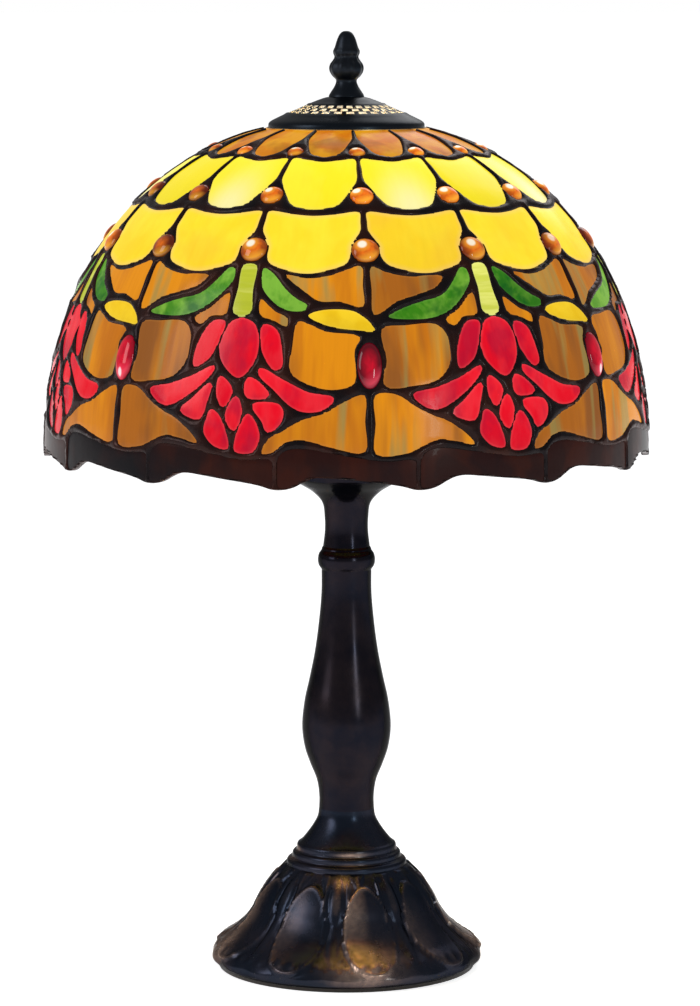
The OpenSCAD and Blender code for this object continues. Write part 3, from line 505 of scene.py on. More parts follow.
rim_outline = [(rim_start + a, s) for a, s in [
    (0.5, 199.4), (1.7, 196.2), (4.04, 195), (7.5, 196), (12, 198), (16, 199.8), (20, 201),
    (24.9, 200.8), (25, 206), (24.9, 212.9), (23.4, 212.2), (21, 210.9), (17, 209.6), (12, 208.0),
    (8.6, 207.1), (6.6, 207.5), (4.9, 209.2), (3.3, 211.6), (1.8, 213), (0.5, 213.3), (0.3, 206)]]
rim_drops = [(0, 214.7), (1.6, 214.4), (3.3, 213.1), (5, 210.7), (6.7, 208.8), (8.6, 208.2), (12, 209.1),
             (17, 210.7), (21, 212), (23.2, 213.2), (24.6, 214.3)]
jewel_rows = [(27.5, 4.2), (63.5, 5.8), (97, 6.8)]
oval_run, oval_half_w, oval_half_h = 155.4, 6.0, 11.3

flat_scale = 2.6          # millimetres drawn for a degree of bearing, where the drawing is laid flat


def pane_line(outline, shift=0.0):
    return [(a + shift, s) for a, s in line_through(outline, 4, True, (flat_scale, 1))]


# Moves an outline outwards by some millimetres, so that the glass reaches in under the solder.
def grown_line(line, by):
    p = np.array(line)
    scale = np.radians(dome_radius(p[:, 1]))
    flat = np.stack([p[:, 0] * np.radians(dome_radius(p[:, 1].mean())), p[:, 1]], axis=1)
    ahead = np.roll(flat, -1, axis=0) - np.roll(flat, 1, axis=0)
    area = np.sum(flat[:, 0] * np.roll(flat[:, 1], -1) - np.roll(flat[:, 0], -1) * flat[:, 1])
    normal = np.stack([ahead[:, 1], -ahead[:, 0]], axis=1) * (1 if area > 0 else -1)
    normal /= np.maximum(np.linalg.norm(normal, axis=1, keepdims=True), 1e-9)
    return [(a + n[0] * by / k, s + n[1] * by) for (a, s), n, k in zip(p, normal, scale)]


# ---- Shade: solder -------------------------------------------------------------------------------
# Raised beads of solder, run along every seam inside and out, and stained dark brown-black.
# The whole network is one piece of metal, and it holds the jewels in its widened joints.

cell_lines = [pane_line(o, shift) for o in (crown_outline, upper_outline, lower_outline, rim_outline)
              for shift in (0, panel)]
grounds = upper_grounds + slivers + middle_grounds + lower_grounds
cell_lines += [pane_line(o) for o in [stem_outline, long_leaf, short_leaf, leaf_tip] + grounds]
petal_growth = 0.65
cell_lines += [grown_line(pane_line(o), petal_growth) for o in petals]
seam_right = [(panel, -3), (panel, 131.5), (27.35, 137), (27.35, 140), (panel, 145), (panel, 198.9),
              (33.3, 199.2), (34.26, 200.5)]
drops = sorted((rim_start + a + panel * k, s) for k in (-1, 0, 1, 2) for a, s in rim_drops)
drops = line_through(drops, 3, False, (flat_scale, 1))
right_end = 34.26
left_end = right_end - cell
end_run = float(np.interp(right_end, [a for a, s in drops], [s for a, s in drops]))
between_ends = [q for q in drops if left_end + 0.3 < q[0] < right_end - 0.3]
bottom = [(left_end, end_run)] + between_ends + [(right_end, end_run)]
cell_edge = seam_right + bottom[::-1] + [(a - cell, s) for a, s in seam_right[::-1]]


# A flat sheet in the drawing, bounded by its first line, with the other lines left open.
def flat_sheet(lines):
    bm = bmesh.new()
    edges = []
    for line in lines:
        corners = [bm.verts.new((a * flat_scale, s, 0)) for a, s in line]
        edges += [bm.edges.new(pair) for pair in zip(corners, corners[1:] + corners[:1])]
    bmesh.ops.triangle_fill(bm, use_beauty=True, edges=edges, normal=(0, 0, 1))
    bmesh.ops.dissolve_limit(bm, angle_limit=0.002, edges=bm.edges)
    return bm


# Cuts a flat sheet along a square grid, so that it can follow the dome.
def cut_grid(bm, across, along):
    for axis, spacing in ((0, across), (1, along)):
        low = min(v.co[axis] for v in bm.verts)
        high = max(v.co[axis] for v in bm.verts)
        normal = (1, 0, 0) if axis == 0 else (0, 1, 0)
        for k in range(math.ceil((low + 0.02) / spacing), math.floor((high - 0.02) / spacing) + 1):
            place = (k * spacing, 0, 0) if axis == 0 else (0, k * spacing, 0)
            bmesh.ops.bisect_plane(bm, geom=bm.verts[:] + bm.edges[:] + bm.faces[:], dist=1e-4,
                                   plane_co=place, plane_no=normal)


# Distance in millimetres from places in the drawing to the nearest of some line pieces.
def nearest(places, starts, ends):
    best = np.full(len(places), 99.0)
    band, reach = 8, 5
    for low in range(-10, 230, band):
        chosen = (places[:, 1] >= low) & (places[:, 1] < low + band)
        close = np.maximum(starts[:, 1], ends[:, 1]) > low - reach
        close &= np.minimum(starts[:, 1], ends[:, 1]) < low + band + reach
        if not chosen.any() or not close.any():
            continue
        spot, a, b = places[chosen][:, None], starts[close][None], ends[close][None]
        scale = np.radians(dome_radius(spot[..., 1]))
        ax, ay = (a[..., 0] - spot[..., 0]) * scale, a[..., 1] - spot[..., 1]
        dx, dy = (b[..., 0] - a[..., 0]) * scale, b[..., 1] - a[..., 1]
        along = np.clip(-(ax * dx + ay * dy) / np.maximum(dx * dx + dy * dy, 1e-9), 0, 1)
        best[chosen] = np.hypot(ax + dx * along, ay + dy * along).min(axis=1)
    return best


# How deep in the solder each place lies: nothing at the edge of the glass or under a jewel.
def solder_depth(places):
    starts, ends = [], []
    for line in cell_lines + [bottom]:
        closed = line is not bottom
        for shift in (-cell, 0, cell):
            moved = np.array(line) + (shift, 0)
            starts.append(moved if closed else moved[:-1])
            ends.append(np.roll(moved, -1, axis=0) if closed else moved[1:])
    depth = nearest(places, np.concatenate(starts), np.concatenate(ends))
    scale = np.radians(dome_radius(places[:, 1]))
    for run, radius in jewel_rows:
        for k in range(-2, 4):
            far = np.hypot((places[:, 0] - panel * k) * scale, places[:, 1] - run) - radius
            depth = np.minimum(depth, np.maximum(far, 0))
    for k in (-1, 1):
        far = np.hypot((places[:, 0] - panel * k) * scale / oval_half_w,
                       (places[:, 1] - oval_run) / oval_half_h) - 1
        depth = np.minimum(depth, np.maximum(far * oval_half_w, 0))
    return depth


mesh_step, mesh_columns = 1.8, 75
bead_reach, bead_outside, bead_inside, bead_sunk = 1.9, 1.35, 0.9, 0.3
bm = flat_sheet([cell_edge] + cell_lines)
cut_grid(bm, cell * flat_scale / mesh_columns, mesh_step)

# The solder stops a little short of the hoop that edges the crown's hole.
above_crown = [f for f in bm.faces if f.calc_center_median().y < 0]
bmesh.ops.delete(bm, geom=above_crown, context="FACES")
places = np.array([(v.co.x / flat_scale, v.co.y) for v in bm.verts])
layers = [bm.verts.layers.float.new(label) for label in ("bearing", "run", "depth")]
for v, place, depth in zip(bm.verts, places, solder_depth(places)):
    v[layers[0]], v[layers[1]], v[layers[2]] = place[0] + tulip_turn, place[1], depth
one_cell = bm.verts[:] + bm.edges[:] + bm.faces[:]
for k in range(1, tulips):
    again = bmesh.ops.duplicate(bm, geom=one_cell)
    for v in again["geom"]:
        if isinstance(v, bmesh.types.BMVert):
            v[layers[0]] += cell * k


def read_layer(bm, layer):
    return np.array([v[layer] for v in bm.verts])


def drop_layers(bm, labels):
    for label in labels:
        bm.verts.layers.float.remove(bm.verts.layers.float[label])


# Doubles a sheet into a closed shell, and says which side each corner is on: 1 outside, -1 inside.
def two_skins(bm):
    grown = bmesh.ops.extrude_face_region(bm, geom=bm.verts[:] + bm.edges[:] + bm.faces[:],
                                          use_keep_orig=True)
    outside = set(v for v in grown["geom"] if isinstance(v, bmesh.types.BMVert))
    return np.array([1.0 if v in outside else -1.0 for v in bm.verts])


for v, place in zip(bm.verts, dome_points(read_layer(bm, layers[0]), read_layer(bm, layers[1]), 0.0)):
    v.co = place
bmesh.ops.remove_doubles(bm, verts=bm.verts, dist=4e-6)
side = two_skins(bm)
depth = np.clip(read_layer(bm, layers[2]) / bead_reach, 0, 1)
swell = np.sqrt(1 - (1 - depth) ** 2)
uneven = np.array([noise.noise(v.co * 160) * 0.22 + noise.noise(v.co * 420) * 0.08 for v in bm.verts])
bead_h = np.where(side > 0, bead_outside, bead_inside)
out = side * (glass_t / 2 - bead_sunk + bead_h * swell + uneven * swell)
for v, place in zip(bm.verts, dome_points(read_layer(bm, layers[0]), read_layer(bm, layers[1]), out)):
    v.co = place
bmesh.ops.recalc_face_normals(bm, faces=bm.faces)
drop_layers(bm, ("bearing", "run", "depth"))

solder, tree, shader = new_material("stained_solder", Metallic=0.3, Specular_IOR_Level=0.2,
                                    Specular_Tint=(0.5, 0.4, 0.4, 1), Coat_Weight=0.05)
cloud = clouds(tree, 38.0, 4.0)
fine = clouds(tree, 480.0, 3.0)
stain = mixed(tree, ranged(tree, cloud, 0.42, 0.62), (0.007, 0.005, 0.006, 1), (0.03, 0.009, 0.006, 1))
tree.links.new(stain, shader.inputs["Base Color"])
tree.links.new(ranged(tree, fine, 0.3, 0.7, 0.2, 0.42), shader.inputs["Roughness"])
roughen(tree, shader, fine, 0.15, 0.0006)
add_piece("solder_network", bm, solder, "shade", ["lead_came"], 60)

# ---- Shade: sheet glass ----------------------------------------------------------------------------
# Opalescent sheet glass, streaked in the making, cut to each outline and tucked under its beads.
# Lit from within, it glows in its own colour; painted light makes it palest at its edges and where the bulb
# is nearest.

streaked, given, gives = new_group(
    "streaked_glass",
    [("Body", "c", (1, 0.7, 0.1, 1)), ("Streak", "c", (1, 0.8, 0.2, 1)),
     ("Deep", "c", (0.5, 0.3, 0.1, 1)), ("Edge Glow", "c", (1, 0.9, 0.5, 1)), ("Width", "v", 8.0),
     ("Length", "v", 60.0), ("Streaks", "v", 0.6), ("Deeps", "v", 0.3),
     ("Vein", "c", (0.3, 0.3, 0.1, 1)), ("Veins", "v", 0.0), ("Edging", "v", 0.4), ("Fall", "v", 0.15),
     ("Spots", "v", 0.0), ("Opal", "v", 0.3)],
    [("Color", "c"), ("Glow", "c"), ("Height", "v")])
sheet = add_node(streaked, "ShaderNodeUVMap", uv_map="sheet").outputs[0]
parts = add_node(streaked, "ShaderNodeSeparateXYZ", {0: sheet})
tone = add_node(streaked, "ShaderNodeAttribute", attribute_name="tone").outputs["Fac"]
edge = add_node(streaked, "ShaderNodeAttribute", attribute_name="edge").outputs["Fac"]
fall = add_node(streaked, "ShaderNodeAttribute", attribute_name="fall").outputs["Fac"]


# Noise pulled out along the glass, wider and longer than the group asks for, from its own place.
def streaks(wider, longer, shift):
    across = math_node(streaked, "DIVIDE", parts.outputs[0], times(streaked, given["Width"], wider))
    along = math_node(streaked, "DIVIDE", parts.outputs[1], times(streaked, given["Length"], longer))
    spot = add_node(streaked, "ShaderNodeCombineXYZ",
                    {0: math_node(streaked, "ADD", across, shift), 1: along})
    values = {"Vector": spot.outputs[0], "Scale": 1.0, "Detail": 3.0, "Roughness": 0.55, "Distortion": 0.25}
    return add_node(streaked, "ShaderNodeTexNoise", values).outputs[0]


main_streaks = streaks(1.0, 1.0, 0.0)
light_streak = ranged(streaked, main_streaks, 0.4, 0.64)
deep_streak = ranged(streaked, streaks(1.6, 1.3, 37.0), 0.48, 0.66)
vein_streak = ranged(streaked, streaks(1.1, 1.6, 113.0), 0.55, 0.64)
fine_streak = ranged(streaked, streaks(0.14, 0.7, 71.0), 0.3, 0.7)
lightness = less(streaked, light_streak, times(streaked, tone, 0.55), clamp=True)
colour = mixed(streaked, times(streaked, lightness, given["Streaks"]), given["Body"], given["Streak"])
deepness = math_node(streaked, "MULTIPLY_ADD", tone, 0.5, deep_streak, clamp=True)
colour = mixed(streaked, times(streaked, deepness, given["Deeps"]), colour, given["Deep"])
colour = mixed(streaked, times(streaked, vein_streak, given["Veins"]), colour, given["Vein"])
# Painted light: a paler glow along the edge of each pane.
edge_glow_share = times(streaked, math_node(streaked, "POWER", edge, 1.8), given["Edging"])
colour = mixed(streaked, edge_glow_share, colour, given["Edge Glow"])
# Painted shade: the glow dims towards each pane's lower edge.
dim = less(streaked, 1.06, times(streaked, fall, given["Fall"]))
dim = less(streaked, dim, times(streaked, tone, 0.06))
thread = times(streaked, less(streaked, fine_streak, 0.5), 0.1)
dim = times(streaked, dim, math_node(streaked, "MULTIPLY_ADD", thread, given["Deeps"], 1.0))

# Bright spots where the bulb shows through, in the upper part of the dome, seven times round it.
where = add_node(streaked, "ShaderNodeTexCoord").outputs["Object"]
xyz = add_node(streaked, "ShaderNodeSeparateXYZ", {0: where})
round_about = math_node(streaked, "ARCTAN2", xyz.outputs[0], times(streaked, xyz.outputs[1], -1.0))
lobes = times(streaked, less(streaked, round_about, 0.31), 7.0)
lobes = math_node(streaked, "MAXIMUM", math_node(streaked, "COSINE", lobes), 0.0)
lobes = math_node(streaked, "POWER", lobes, 2.5)
off_level = math_node(streaked, "DIVIDE", less(streaked, xyz.outputs[2], 0.396), 0.013)
level = times(streaked, times(streaked, off_level, off_level), -1.0)
level = math_node(streaked, "EXPONENT", level)
spots = times(streaked, times(streaked, lobes, level), given["Spots"])
colour = mixed(streaked, spots, colour, (1.0, 0.95, 0.55, 1))
lit = mixed(streaked, 1.0, colour, dim, "MULTIPLY")
streaked.links.new(lit, gives["Glow"])
pale = mixed(streaked, given["Opal"], (0, 0, 0, 1), lit)
streaked.links.new(pale, gives["Color"])
streaked.links.new(main_streaks, gives["Height"])


def glass(name, body, streak, deep, edge, glow=0.95, opal=0.1, roughness=0.22, bump=0.25, shine=0.16,
          **amounts):
    material, tree, shader = new_material(name, Roughness=roughness, Coat_Weight=0.02,
                                          Coat_Roughness=0.04, Emission_Strength=glow, IOR=1.4,
                                          Specular_IOR_Level=shine)
    cast = add_node(tree, "ShaderNodeGroup", node_tree=streaked)
    for key, value in (("Body", body), ("Streak", streak), ("Deep", deep), ("Edge Glow", edge)):
        cast.inputs[key].default_value = value
    cast.inputs["Opal"].default_value = opal
    for key, value in amounts.items():
        cast.inputs[key].default_value = value
    tree.links.new(cast.outputs["Color"], shader.inputs["Base Color"])
    tree.links.new(cast.outputs["Glow"], shader.inputs["Emission Color"])
    roughen(tree, shader, cast.outputs["Height"], bump)
    return material


pane_grid = (9.0, 7.0)
lean_share, edge_drop = 0.014, 0.12


# One object of all the panes cut to these outlines, repeated round the dome.
def glass_panes(name, outlines, step, material, seed, tuck=0.7, tones=None, border=1.7):
    chance = random.Random(seed)
    whole = bmesh.new()
    labels = ("bearing", "run", "edge", "fall", "tone", "slide", "drift", "tilt", "middle")
    layer = {label: whole.verts.layers.float.new(label) for label in labels}
    for number, outline in enumerate(outlines):
        one = flat_sheet([grown_line(pane_line(outline), tuck)])
        bmesh.ops.inset_region(one, faces=one.faces[:], thickness=border, use_boundary=True,
                               use_even_offset=False)
        marks = one.verts.layers.float.new("edge")
        for v in one.verts:
            v[marks] = 1.0 if any(e.is_boundary for e in v.link_edges) else 0.0
        cut_grid(one, *pane_grid)
        flat = bpy.data.meshes.new("flat")
        one.to_mesh(flat)
        one.free()
        runs = [v.co.y for v in flat.vertices]
        low, high = min(runs), max(runs)
        middle = sum(v.co.x for v in flat.vertices) / len(flat.vertices) / flat_scale
        for turn in range(round(360 / step)):
            first = len(whole.verts)
            whole.from_mesh(flat)
            whole.verts.ensure_lookup_table()
            slide, drift, tilt = chance.uniform(0, 400), chance.uniform(0, 900), chance.uniform(-1, 1)
            shade = chance.uniform(-1, 1) if tones is None else tones[number] + chance.uniform(-0.3, 0.3)
            for v in whole.verts[first:]:
                v[layer["bearing"]] = v.co.x / flat_scale + tulip_turn + turn * step
                v[layer["run"]] = v.co.y
                v[layer["fall"]] = (v.co.y - low) / (high - low)
                v[layer["tone"]], v[layer["slide"]], v[layer["drift"]] = shade, slide, drift
                v[layer["tilt"]] = tilt
                v[layer["middle"]] = middle + tulip_turn + turn * step
        bpy.data.meshes.remove(flat)
    side = two_skins(whole)
    got = {label: read_layer(whole, layer[label]) for label in labels}
    lean = (got["bearing"] - got["middle"]) * lean_share * got["tilt"]
    out = side * (glass_t / 2 - edge_drop * got["edge"]) + lean
    for v, place in zip(whole.verts, dome_points(got["bearing"], got["run"], out)):
        v.co = place
    sheet = whole.loops.layers.uv.new("sheet")
    across = (got["bearing"] - got["middle"]) * np.radians(dome_radius(got["run"])) + got["slide"]
    down = got["run"] + got["drift"]
    whole.verts.index_update()
    for face in whole.faces:
        for loop in face.loops:
            loop[sheet].uv = (across[loop.vert.index], down[loop.vert.index])
    bmesh.ops.recalc_face_normals(whole, faces=whole.faces)
    drop_layers(whole, ("bearing", "run", "slide", "drift", "tilt", "middle"))
    return add_piece(name + "_cut", whole, material, "shade", [name], 40)


crown_glass = glass("crown_glass", tint(206, 112, 14), tint(226, 160, 24), tint(134, 78, 22),
                    tint(236, 164, 62), shine=0.05, Width=14.0, Length=16.0, Streaks=0.8, Deeps=0.6,
                    Edging=0.5, Fall=0.1)
glass_panes("crown_panes", [crown_outline], panel, crown_glass, 11, border=3.0)

lemon_glass = glass("lemon_glass", tint(255, 236, 26), tint(255, 240, 60), tint(252, 218, 40),
                    tint(253, 222, 104), glow=0.95, Width=18.0, Length=34.0, Streaks=0.6, Deeps=0.35,
                    Edging=0.55, Fall=0.12, Spots=0.72)
glass_panes("upper_yellow_panes", [upper_outline], panel, lemon_glass, 12, border=3.4)

golden_glass = glass("golden_glass", tint(255, 216, 36), tint(255, 232, 56), tint(252, 198, 52),
                     tint(250, 206, 118), glow=0.94, Width=24.0, Length=30.0, Streaks=0.7, Deeps=0.5,
                     Edging=0.8, Fall=0.08)
glass_panes("lower_yellow_panes", [lower_outline], panel, golden_glass, 13, border=4.0)

amber_glass = glass("amber_glass", tint(186, 106, 20), tint(220, 138, 16), tint(134, 80, 34),
                    tint(204, 138, 62), Vein=tint(142, 136, 78), Width=15.0, Length=90.0, Streaks=0.9,
                    Deeps=0.9, Veins=0.65, Edging=0.45, Fall=0.05)
glass_panes("amber_upper_panes", upper_grounds, cell, amber_glass, 14)
glass_panes("amber_slivers", slivers, cell, amber_glass, 15)
glass_panes("amber_middle_panes", middle_grounds, cell, amber_glass, 16)
glass_panes("amber_lower_panes", lower_grounds, cell, amber_glass, 17)

stem_glass = glass("stem_glass", tint(190, 198, 52), tint(232, 232, 124), tint(164, 174, 44),
                   tint(230, 232, 150), glow=1.0, Width=40.0, Length=4.5, Streaks=0.8, Deeps=0.3,
                   Edging=0.5)
glass_panes("stems", [stem_outline], cell, stem_glass, 18)

leaf_glass = glass("leaf_glass", tint(58, 130, 20), tint(130, 184, 62), tint(8, 90, 24),
                   tint(124, 190, 88), Width=10.0, Length=12.0, Streaks=0.85, Deeps=0.85, Edging=0.4)
glass_panes("long_leaves", [long_leaf], cell, leaf_glass, 19)
glass_panes("short_leaves", [short_leaf], cell, leaf_glass, 20)

tip_glass = glass("tip_glass", tint(234, 190, 20), tint(250, 214, 48), tint(206, 160, 24),
                  tint(255, 226, 110), Width=14.0, Length=14.0, Streaks=0.5, Deeps=0.3, Edging=0.45)
glass_panes("leaf_tips", [leaf_tip], cell, tip_glass, 21)

petal_glass = glass("petal_glass", tint(232, 8, 34), tint(240, 50, 62), tint(170, 12, 50),
                    tint(250, 84, 92), Width=10.0, Length=22.0, Streaks=0.6, Deeps=0.65, Edging=0.45)
petal_tones = [-0.1, 0.2, 0.0, 0.0, 0.1, -0.4, 0.2, -0.1, 0.0, 0.2, 0.7, 0.5]
glass_panes("tulip_petals", petals, cell, petal_glass, 22, tuck=0.3 + petal_growth,
            tones=petal_tones)

rim_glass = glass("rim_glass", tint(26, 15, 18), tint(70, 26, 14), tint(12, 12, 20), tint(40, 20, 16),
                  glow=0.45, opal=0.2, roughness=0.3, shine=0.1, Width=24.0, Length=40.0, Streaks=0.75,
                  Deeps=0.9, Edging=0.2)
glass_panes("rim_panes", [rim_outline], panel, rim_glass, 23)

# ---- Shade: jewels ---------------------------------------------------------------------------------
# Pressed-glass buttons, round and amber on the seams of the three plain rows, and long red ovals
# between the tulips. Each is domed in front, nearly flat behind, and held by the solder round it.

lens, given, gives = new_group(
    "lens_glass",
    [("Body", "c", (1, 0.4, 0.05, 1)), ("Rim", "c", (0.3, 0.08, 0.01, 1)),
     ("Light", "c", (1, 0.9, 0.7, 1)), ("Warm", "c", (1, 0.5, 0.1, 1)), ("Spot X", "v", 0.0),
     ("Spot Y", "v", 0.0), ("Spot Size", "v", 0.4), ("Opal", "v", 0.06)],
    [("Color", "c"), ("Glow", "c")])
face_uv = add_node(lens, "ShaderNodeUVMap", uv_map="face").outputs[0]
parts = add_node(lens, "ShaderNodeSeparateXYZ", {0: face_uv})
tone = add_node(lens, "ShaderNodeAttribute", attribute_name="tone").outputs["Fac"]


def length(tree, x, y):
    total = math_node(tree, "ADD", times(tree, x, x), times(tree, y, y))
    return math_node(tree, "SQRT", total)


far = length(lens, parts.outputs[0], parts.outputs[1])
seeds = add_node(lens, "ShaderNodeTexNoise",
                 {"Vector": face_uv, "Scale": 2.2, "Detail": 2.0, "Distortion": 0.6})
body = mixed(lens, ranged(lens, seeds.outputs[0], 0.35, 0.7, 0.0, 0.45), given["Body"], given["Rim"])
# Painted shade darkens each jewel towards its rim; painted light adds a warm crescent near its lower rim.
rim_share = ranged(lens, math_node(lens, "MULTIPLY_ADD", tone, 0.3, far), 0.5, 1.05)
body = mixed(lens, rim_share, body, given["Rim"])
lit_side = math_node(lens, "MULTIPLY_ADD", parts.outputs[0], 0.4, parts.outputs[1])
crescent = times(lens, ranged(lens, lit_side, 0.3, 0.8), ranged(lens, far, 1.0, 0.8))
body = mixed(lens, times(lens, crescent, 0.75), body, given["Warm"])
# Painted highlight: a warm halo and a pale glint at the spot, only on the lighter-toned jewels.
off_x = less(lens, parts.outputs[0], math_node(lens, "MULTIPLY_ADD", tone, 0.22, given["Spot X"]))
off_y = less(lens, parts.outputs[1], given["Spot Y"])
off = math_node(lens, "DIVIDE", length(lens, off_x, off_y), given["Spot Size"])
shows = ranged(lens, tone, 0.5, 0.1)
body = mixed(lens, times(lens, ranged(lens, off, 1.7, 0.7, 0.0, 0.8), shows), body, given["Warm"])
glint = times(lens, ranged(lens, off, 0.95, 0.6), shows)
body = mixed(lens, glint, body, given["Light"])
body = mixed(lens, 1.0, body, math_node(lens, "MULTIPLY_ADD", tone, -0.16, 0.94), "MULTIPLY")
lens.links.new(body, gives["Glow"])
lens.links.new(mixed(lens, given["Opal"], (0, 0, 0, 1), body), gives["Color"])


def lens_finish(name, body, rim, warm, light, spot, size, glow=0.9):
    material, tree, shader = new_material(name, Roughness=0.08, Coat_Weight=0.05, Coat_Roughness=0.03,
                                          Emission_Strength=glow, IOR=1.45, Specular_IOR_Level=0.3)
    cast = add_node(tree, "ShaderNodeGroup", node_tree=lens)
    for key, value in (("Body", body), ("Rim", rim), ("Warm", warm), ("Light", light),
                       ("Spot X", spot[0]), ("Spot Y", spot[1]), ("Spot Size", size)):
        cast.inputs[key].default_value = value
    tree.links.new(cast.outputs["Color"], shader.inputs["Base Color"])
    tree.links.new(cast.outputs["Glow"], shader.inputs["Emission Color"])
    return material


seat = glass_t / 2 - 0.5      # the widest part of a jewel, from the middle of the sheet glass
sunk = 2.4


# Buttons of glass at these bearings on one run of the dome: half width, half height and rise.
def jewels(name, run, bearings, size, material, seed, u_steps=20, v_steps=12):
    chance = random.Random(seed)
    half_w, half_h, rise = size
    bm = bmesh.new()
    face = bm.loops.layers.uv.new("face")
    tone = bm.verts.layers.float.new("tone")
    for bearing in bearings:
        made = bmesh.ops.create_uvsphere(bm, u_segments=u_steps, v_segments=v_steps, radius=1)["verts"]
        shade = chance.uniform(-1, 1)
        for f in set(f for v in made for f in v.link_faces):
            for loop in f.loops:
                loop[face].uv = (loop.vert.co.x, loop.vert.co.y)
        centre, above_it, beside, below = [Vector(q) for q in dome_points(
            np.array([bearing, bearing, bearing + 0.5, bearing]), np.array([run, run, run, run + 1.0]),
            np.array([0.0, 1.0, 0.0, 0.0]))]
        out = (above_it - centre).normalized()
        down = (below - centre).normalized()
        right = (beside - centre).normalized()
        for v in made:
            x, y, z = v.co
            v[tone] = shade
            lift = seat + (rise if z > 0 else sunk) * z
            v.co = centre + (right * x * half_w + down * y * half_h + out * lift) * MM
    bmesh.ops.recalc_face_normals(bm, faces=bm.faces)
    add_piece(name + "_pressed", bm, material, "shade", [name], 80)


amber_jewel = lens_finish("amber_jewel", tint(236, 112, 14), tint(96, 28, 4), tint(255, 176, 50),
                          tint(255, 246, 224), (-0.22, -0.32), 0.4, glow=1.0)
round_about = [tulip_turn + panel * k for k in range(2 * tulips)]
rows_of_jewels = zip(("crown_jewels", "upper_jewels", "lower_jewels"), (31, 32, 33), jewel_rows)
for name, seed, (run, radius) in rows_of_jewels:
    size = (radius, radius, radius * 0.36 + 0.8)
    jewels(name, run, round_about, size, amber_jewel, seed)

red_jewel = lens_finish("red_jewel", tint(226, 6, 44), tint(104, 2, 24), tint(255, 60, 90),
                        tint(255, 226, 228), (0.1, 0.66), 0.24)
between = [tulip_turn + panel + cell * k for k in range(tulips)]
oval_size = (oval_half_w, oval_half_h, 3.2)
jewels("oval_cabochons", oval_run, between, oval_size, red_jewel, 34, 24, 16)

# ---- Shade: ring, spider and wire --------------------------------------------------------------------
# A brass hoop edges the crown hole, and a three-armed brass spider soldered into it hangs the shade.
# A tinned wire is soldered round the inside of the lower edge to keep it round.

brass = bronze("worn_brass", (0.4, 0.26, 0.1), (0.3, 0.18, 0.07), (0.7, 0.52, 0.26), rub=0.3,
               metallic=1.0, bump=0.05, edge_shine=1.0)


def dress(material, *nodes):
    for node in nodes:
        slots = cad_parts[node].data.materials
        slots.clear()
        slots.append(material)


dress(brass, "top_ring", "spider")
wire_low, wire_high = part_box("reinforcing_wire")
wire_r = (wire_high.z - wire_low.z) / 2
wire_ring = wire_high.x - wire_r
bm = bmesh.new()
wire_z = (wire_low.z + wire_high.z) / 2
placing = Matrix.Translation((wire_ring, 0, wire_z)) @ Matrix.Rotation(math.pi / 2, 4, "X")
bmesh.ops.create_circle(bm, segments=12, radius=wire_r, matrix=placing)
bmesh.ops.spin(bm, geom=bm.verts[:] + bm.edges[:], cent=(0, 0, 0), axis=(0, 0, 1), angle=math.tau,
               steps=168, use_merge=True)
bmesh.ops.recalc_face_normals(bm, faces=bm.faces)
add_piece("edge_wire", bm, solder, "shade", ["reinforcing_wire"], 60)

# ---- Lamp holder and bulb ----------------------------------------------------------------------------
# A spun brass holder with an insulating liner, a screw shell and a turn switch, on top of the rod.
# The bulb is a frosted pear with a rolled metal cap, and it is lit.

outline = line_through([[7, 262], [9.5, 262.1], [14, 264], [16.4, 268.5], [17, 274]], 5)
inside = line_through([[16.2, 274], [15.4, 269], [13, 265.2], [8.5, 263.2]], 4)
bm = turned([(4.95, 258.5), (6.7, 258.5), (7, 258.9)] + outline + inside + [(4.95, 263.2)], 96)
add_piece("holder_cap_spun", bm, brass, "stand", ["holder_cap"], 35)
dress(brass, "holder_shell", "centre_contact")

fibre, tree, shader = new_material("liner_fibre", Roughness=0.8)
fleck = clouds(tree, 300.0, 3.0)
tree.links.new(mixed(tree, fleck, tint(150, 118, 78), tint(188, 158, 116)), shader.inputs["Base Color"])
dress(fibre, "holder_liner")

bakelite, tree, shader = new_material("bakelite", Roughness=0.3, Coat_Weight=0.3)
swirl = clouds(tree, 90.0, 3.0, Distortion=1.0)
brown = mixed(tree, ranged(tree, swirl, 0.45, 0.7), (0.012, 0.009, 0.008, 1), (0.05, 0.028, 0.018, 1))
tree.links.new(brown, shader.inputs["Base Color"])
dress(bakelite, "holder_body")

plated = bronze("plated_steel", (0.42, 0.42, 0.42), (0.3, 0.3, 0.3), (0.6, 0.6, 0.58), rub=0.3,
                metallic=1.0, bump=0.04, edge_shine=1.0)
dress(plated, "screw_shell", "bulb_cap", "bulb_contact", "lamp_rod", "foot_washer", "foot_nut",
      "cup_nut", "base_plate")

bulb_outline = line_through([[12, 306], [12, 318], [13.2, 324], [18.2, 336], [23.6, 346], [26.3, 353],
                             [27, 361]], 5)
bulb_r, bulb_z, bulb_wall = 27, 361, 0.8
slopes = [math.radians(t) for t in range(9, 90, 9)]
bulb_outline += [(bulb_r * math.cos(t), bulb_z + bulb_r * math.sin(t)) for t in slopes]
drop = [bulb_wall * max(0, (h - bulb_z) / bulb_r) for r, h in bulb_outline]
bulb_inner = [(max(r - bulb_wall, 0), h - by) for (r, h), by in zip(bulb_outline, drop)]
bulb_top = bulb_z + bulb_r
bm = turned(bulb_outline + [(0, bulb_top), (0, bulb_top - bulb_wall)] + bulb_inner[::-1], 72)
frosted, tree, shader = new_material("frosted_bulb", Roughness=0.35, Emission_Strength=1.0)
where = add_node(tree, "ShaderNodeTexCoord").outputs["Object"]
height = add_node(tree, "ShaderNodeSeparateXYZ", {0: where}).outputs[2]
warm = mixed(tree, ranged(tree, height, 0.31, 0.36), tint(255, 186, 104), tint(255, 246, 214))
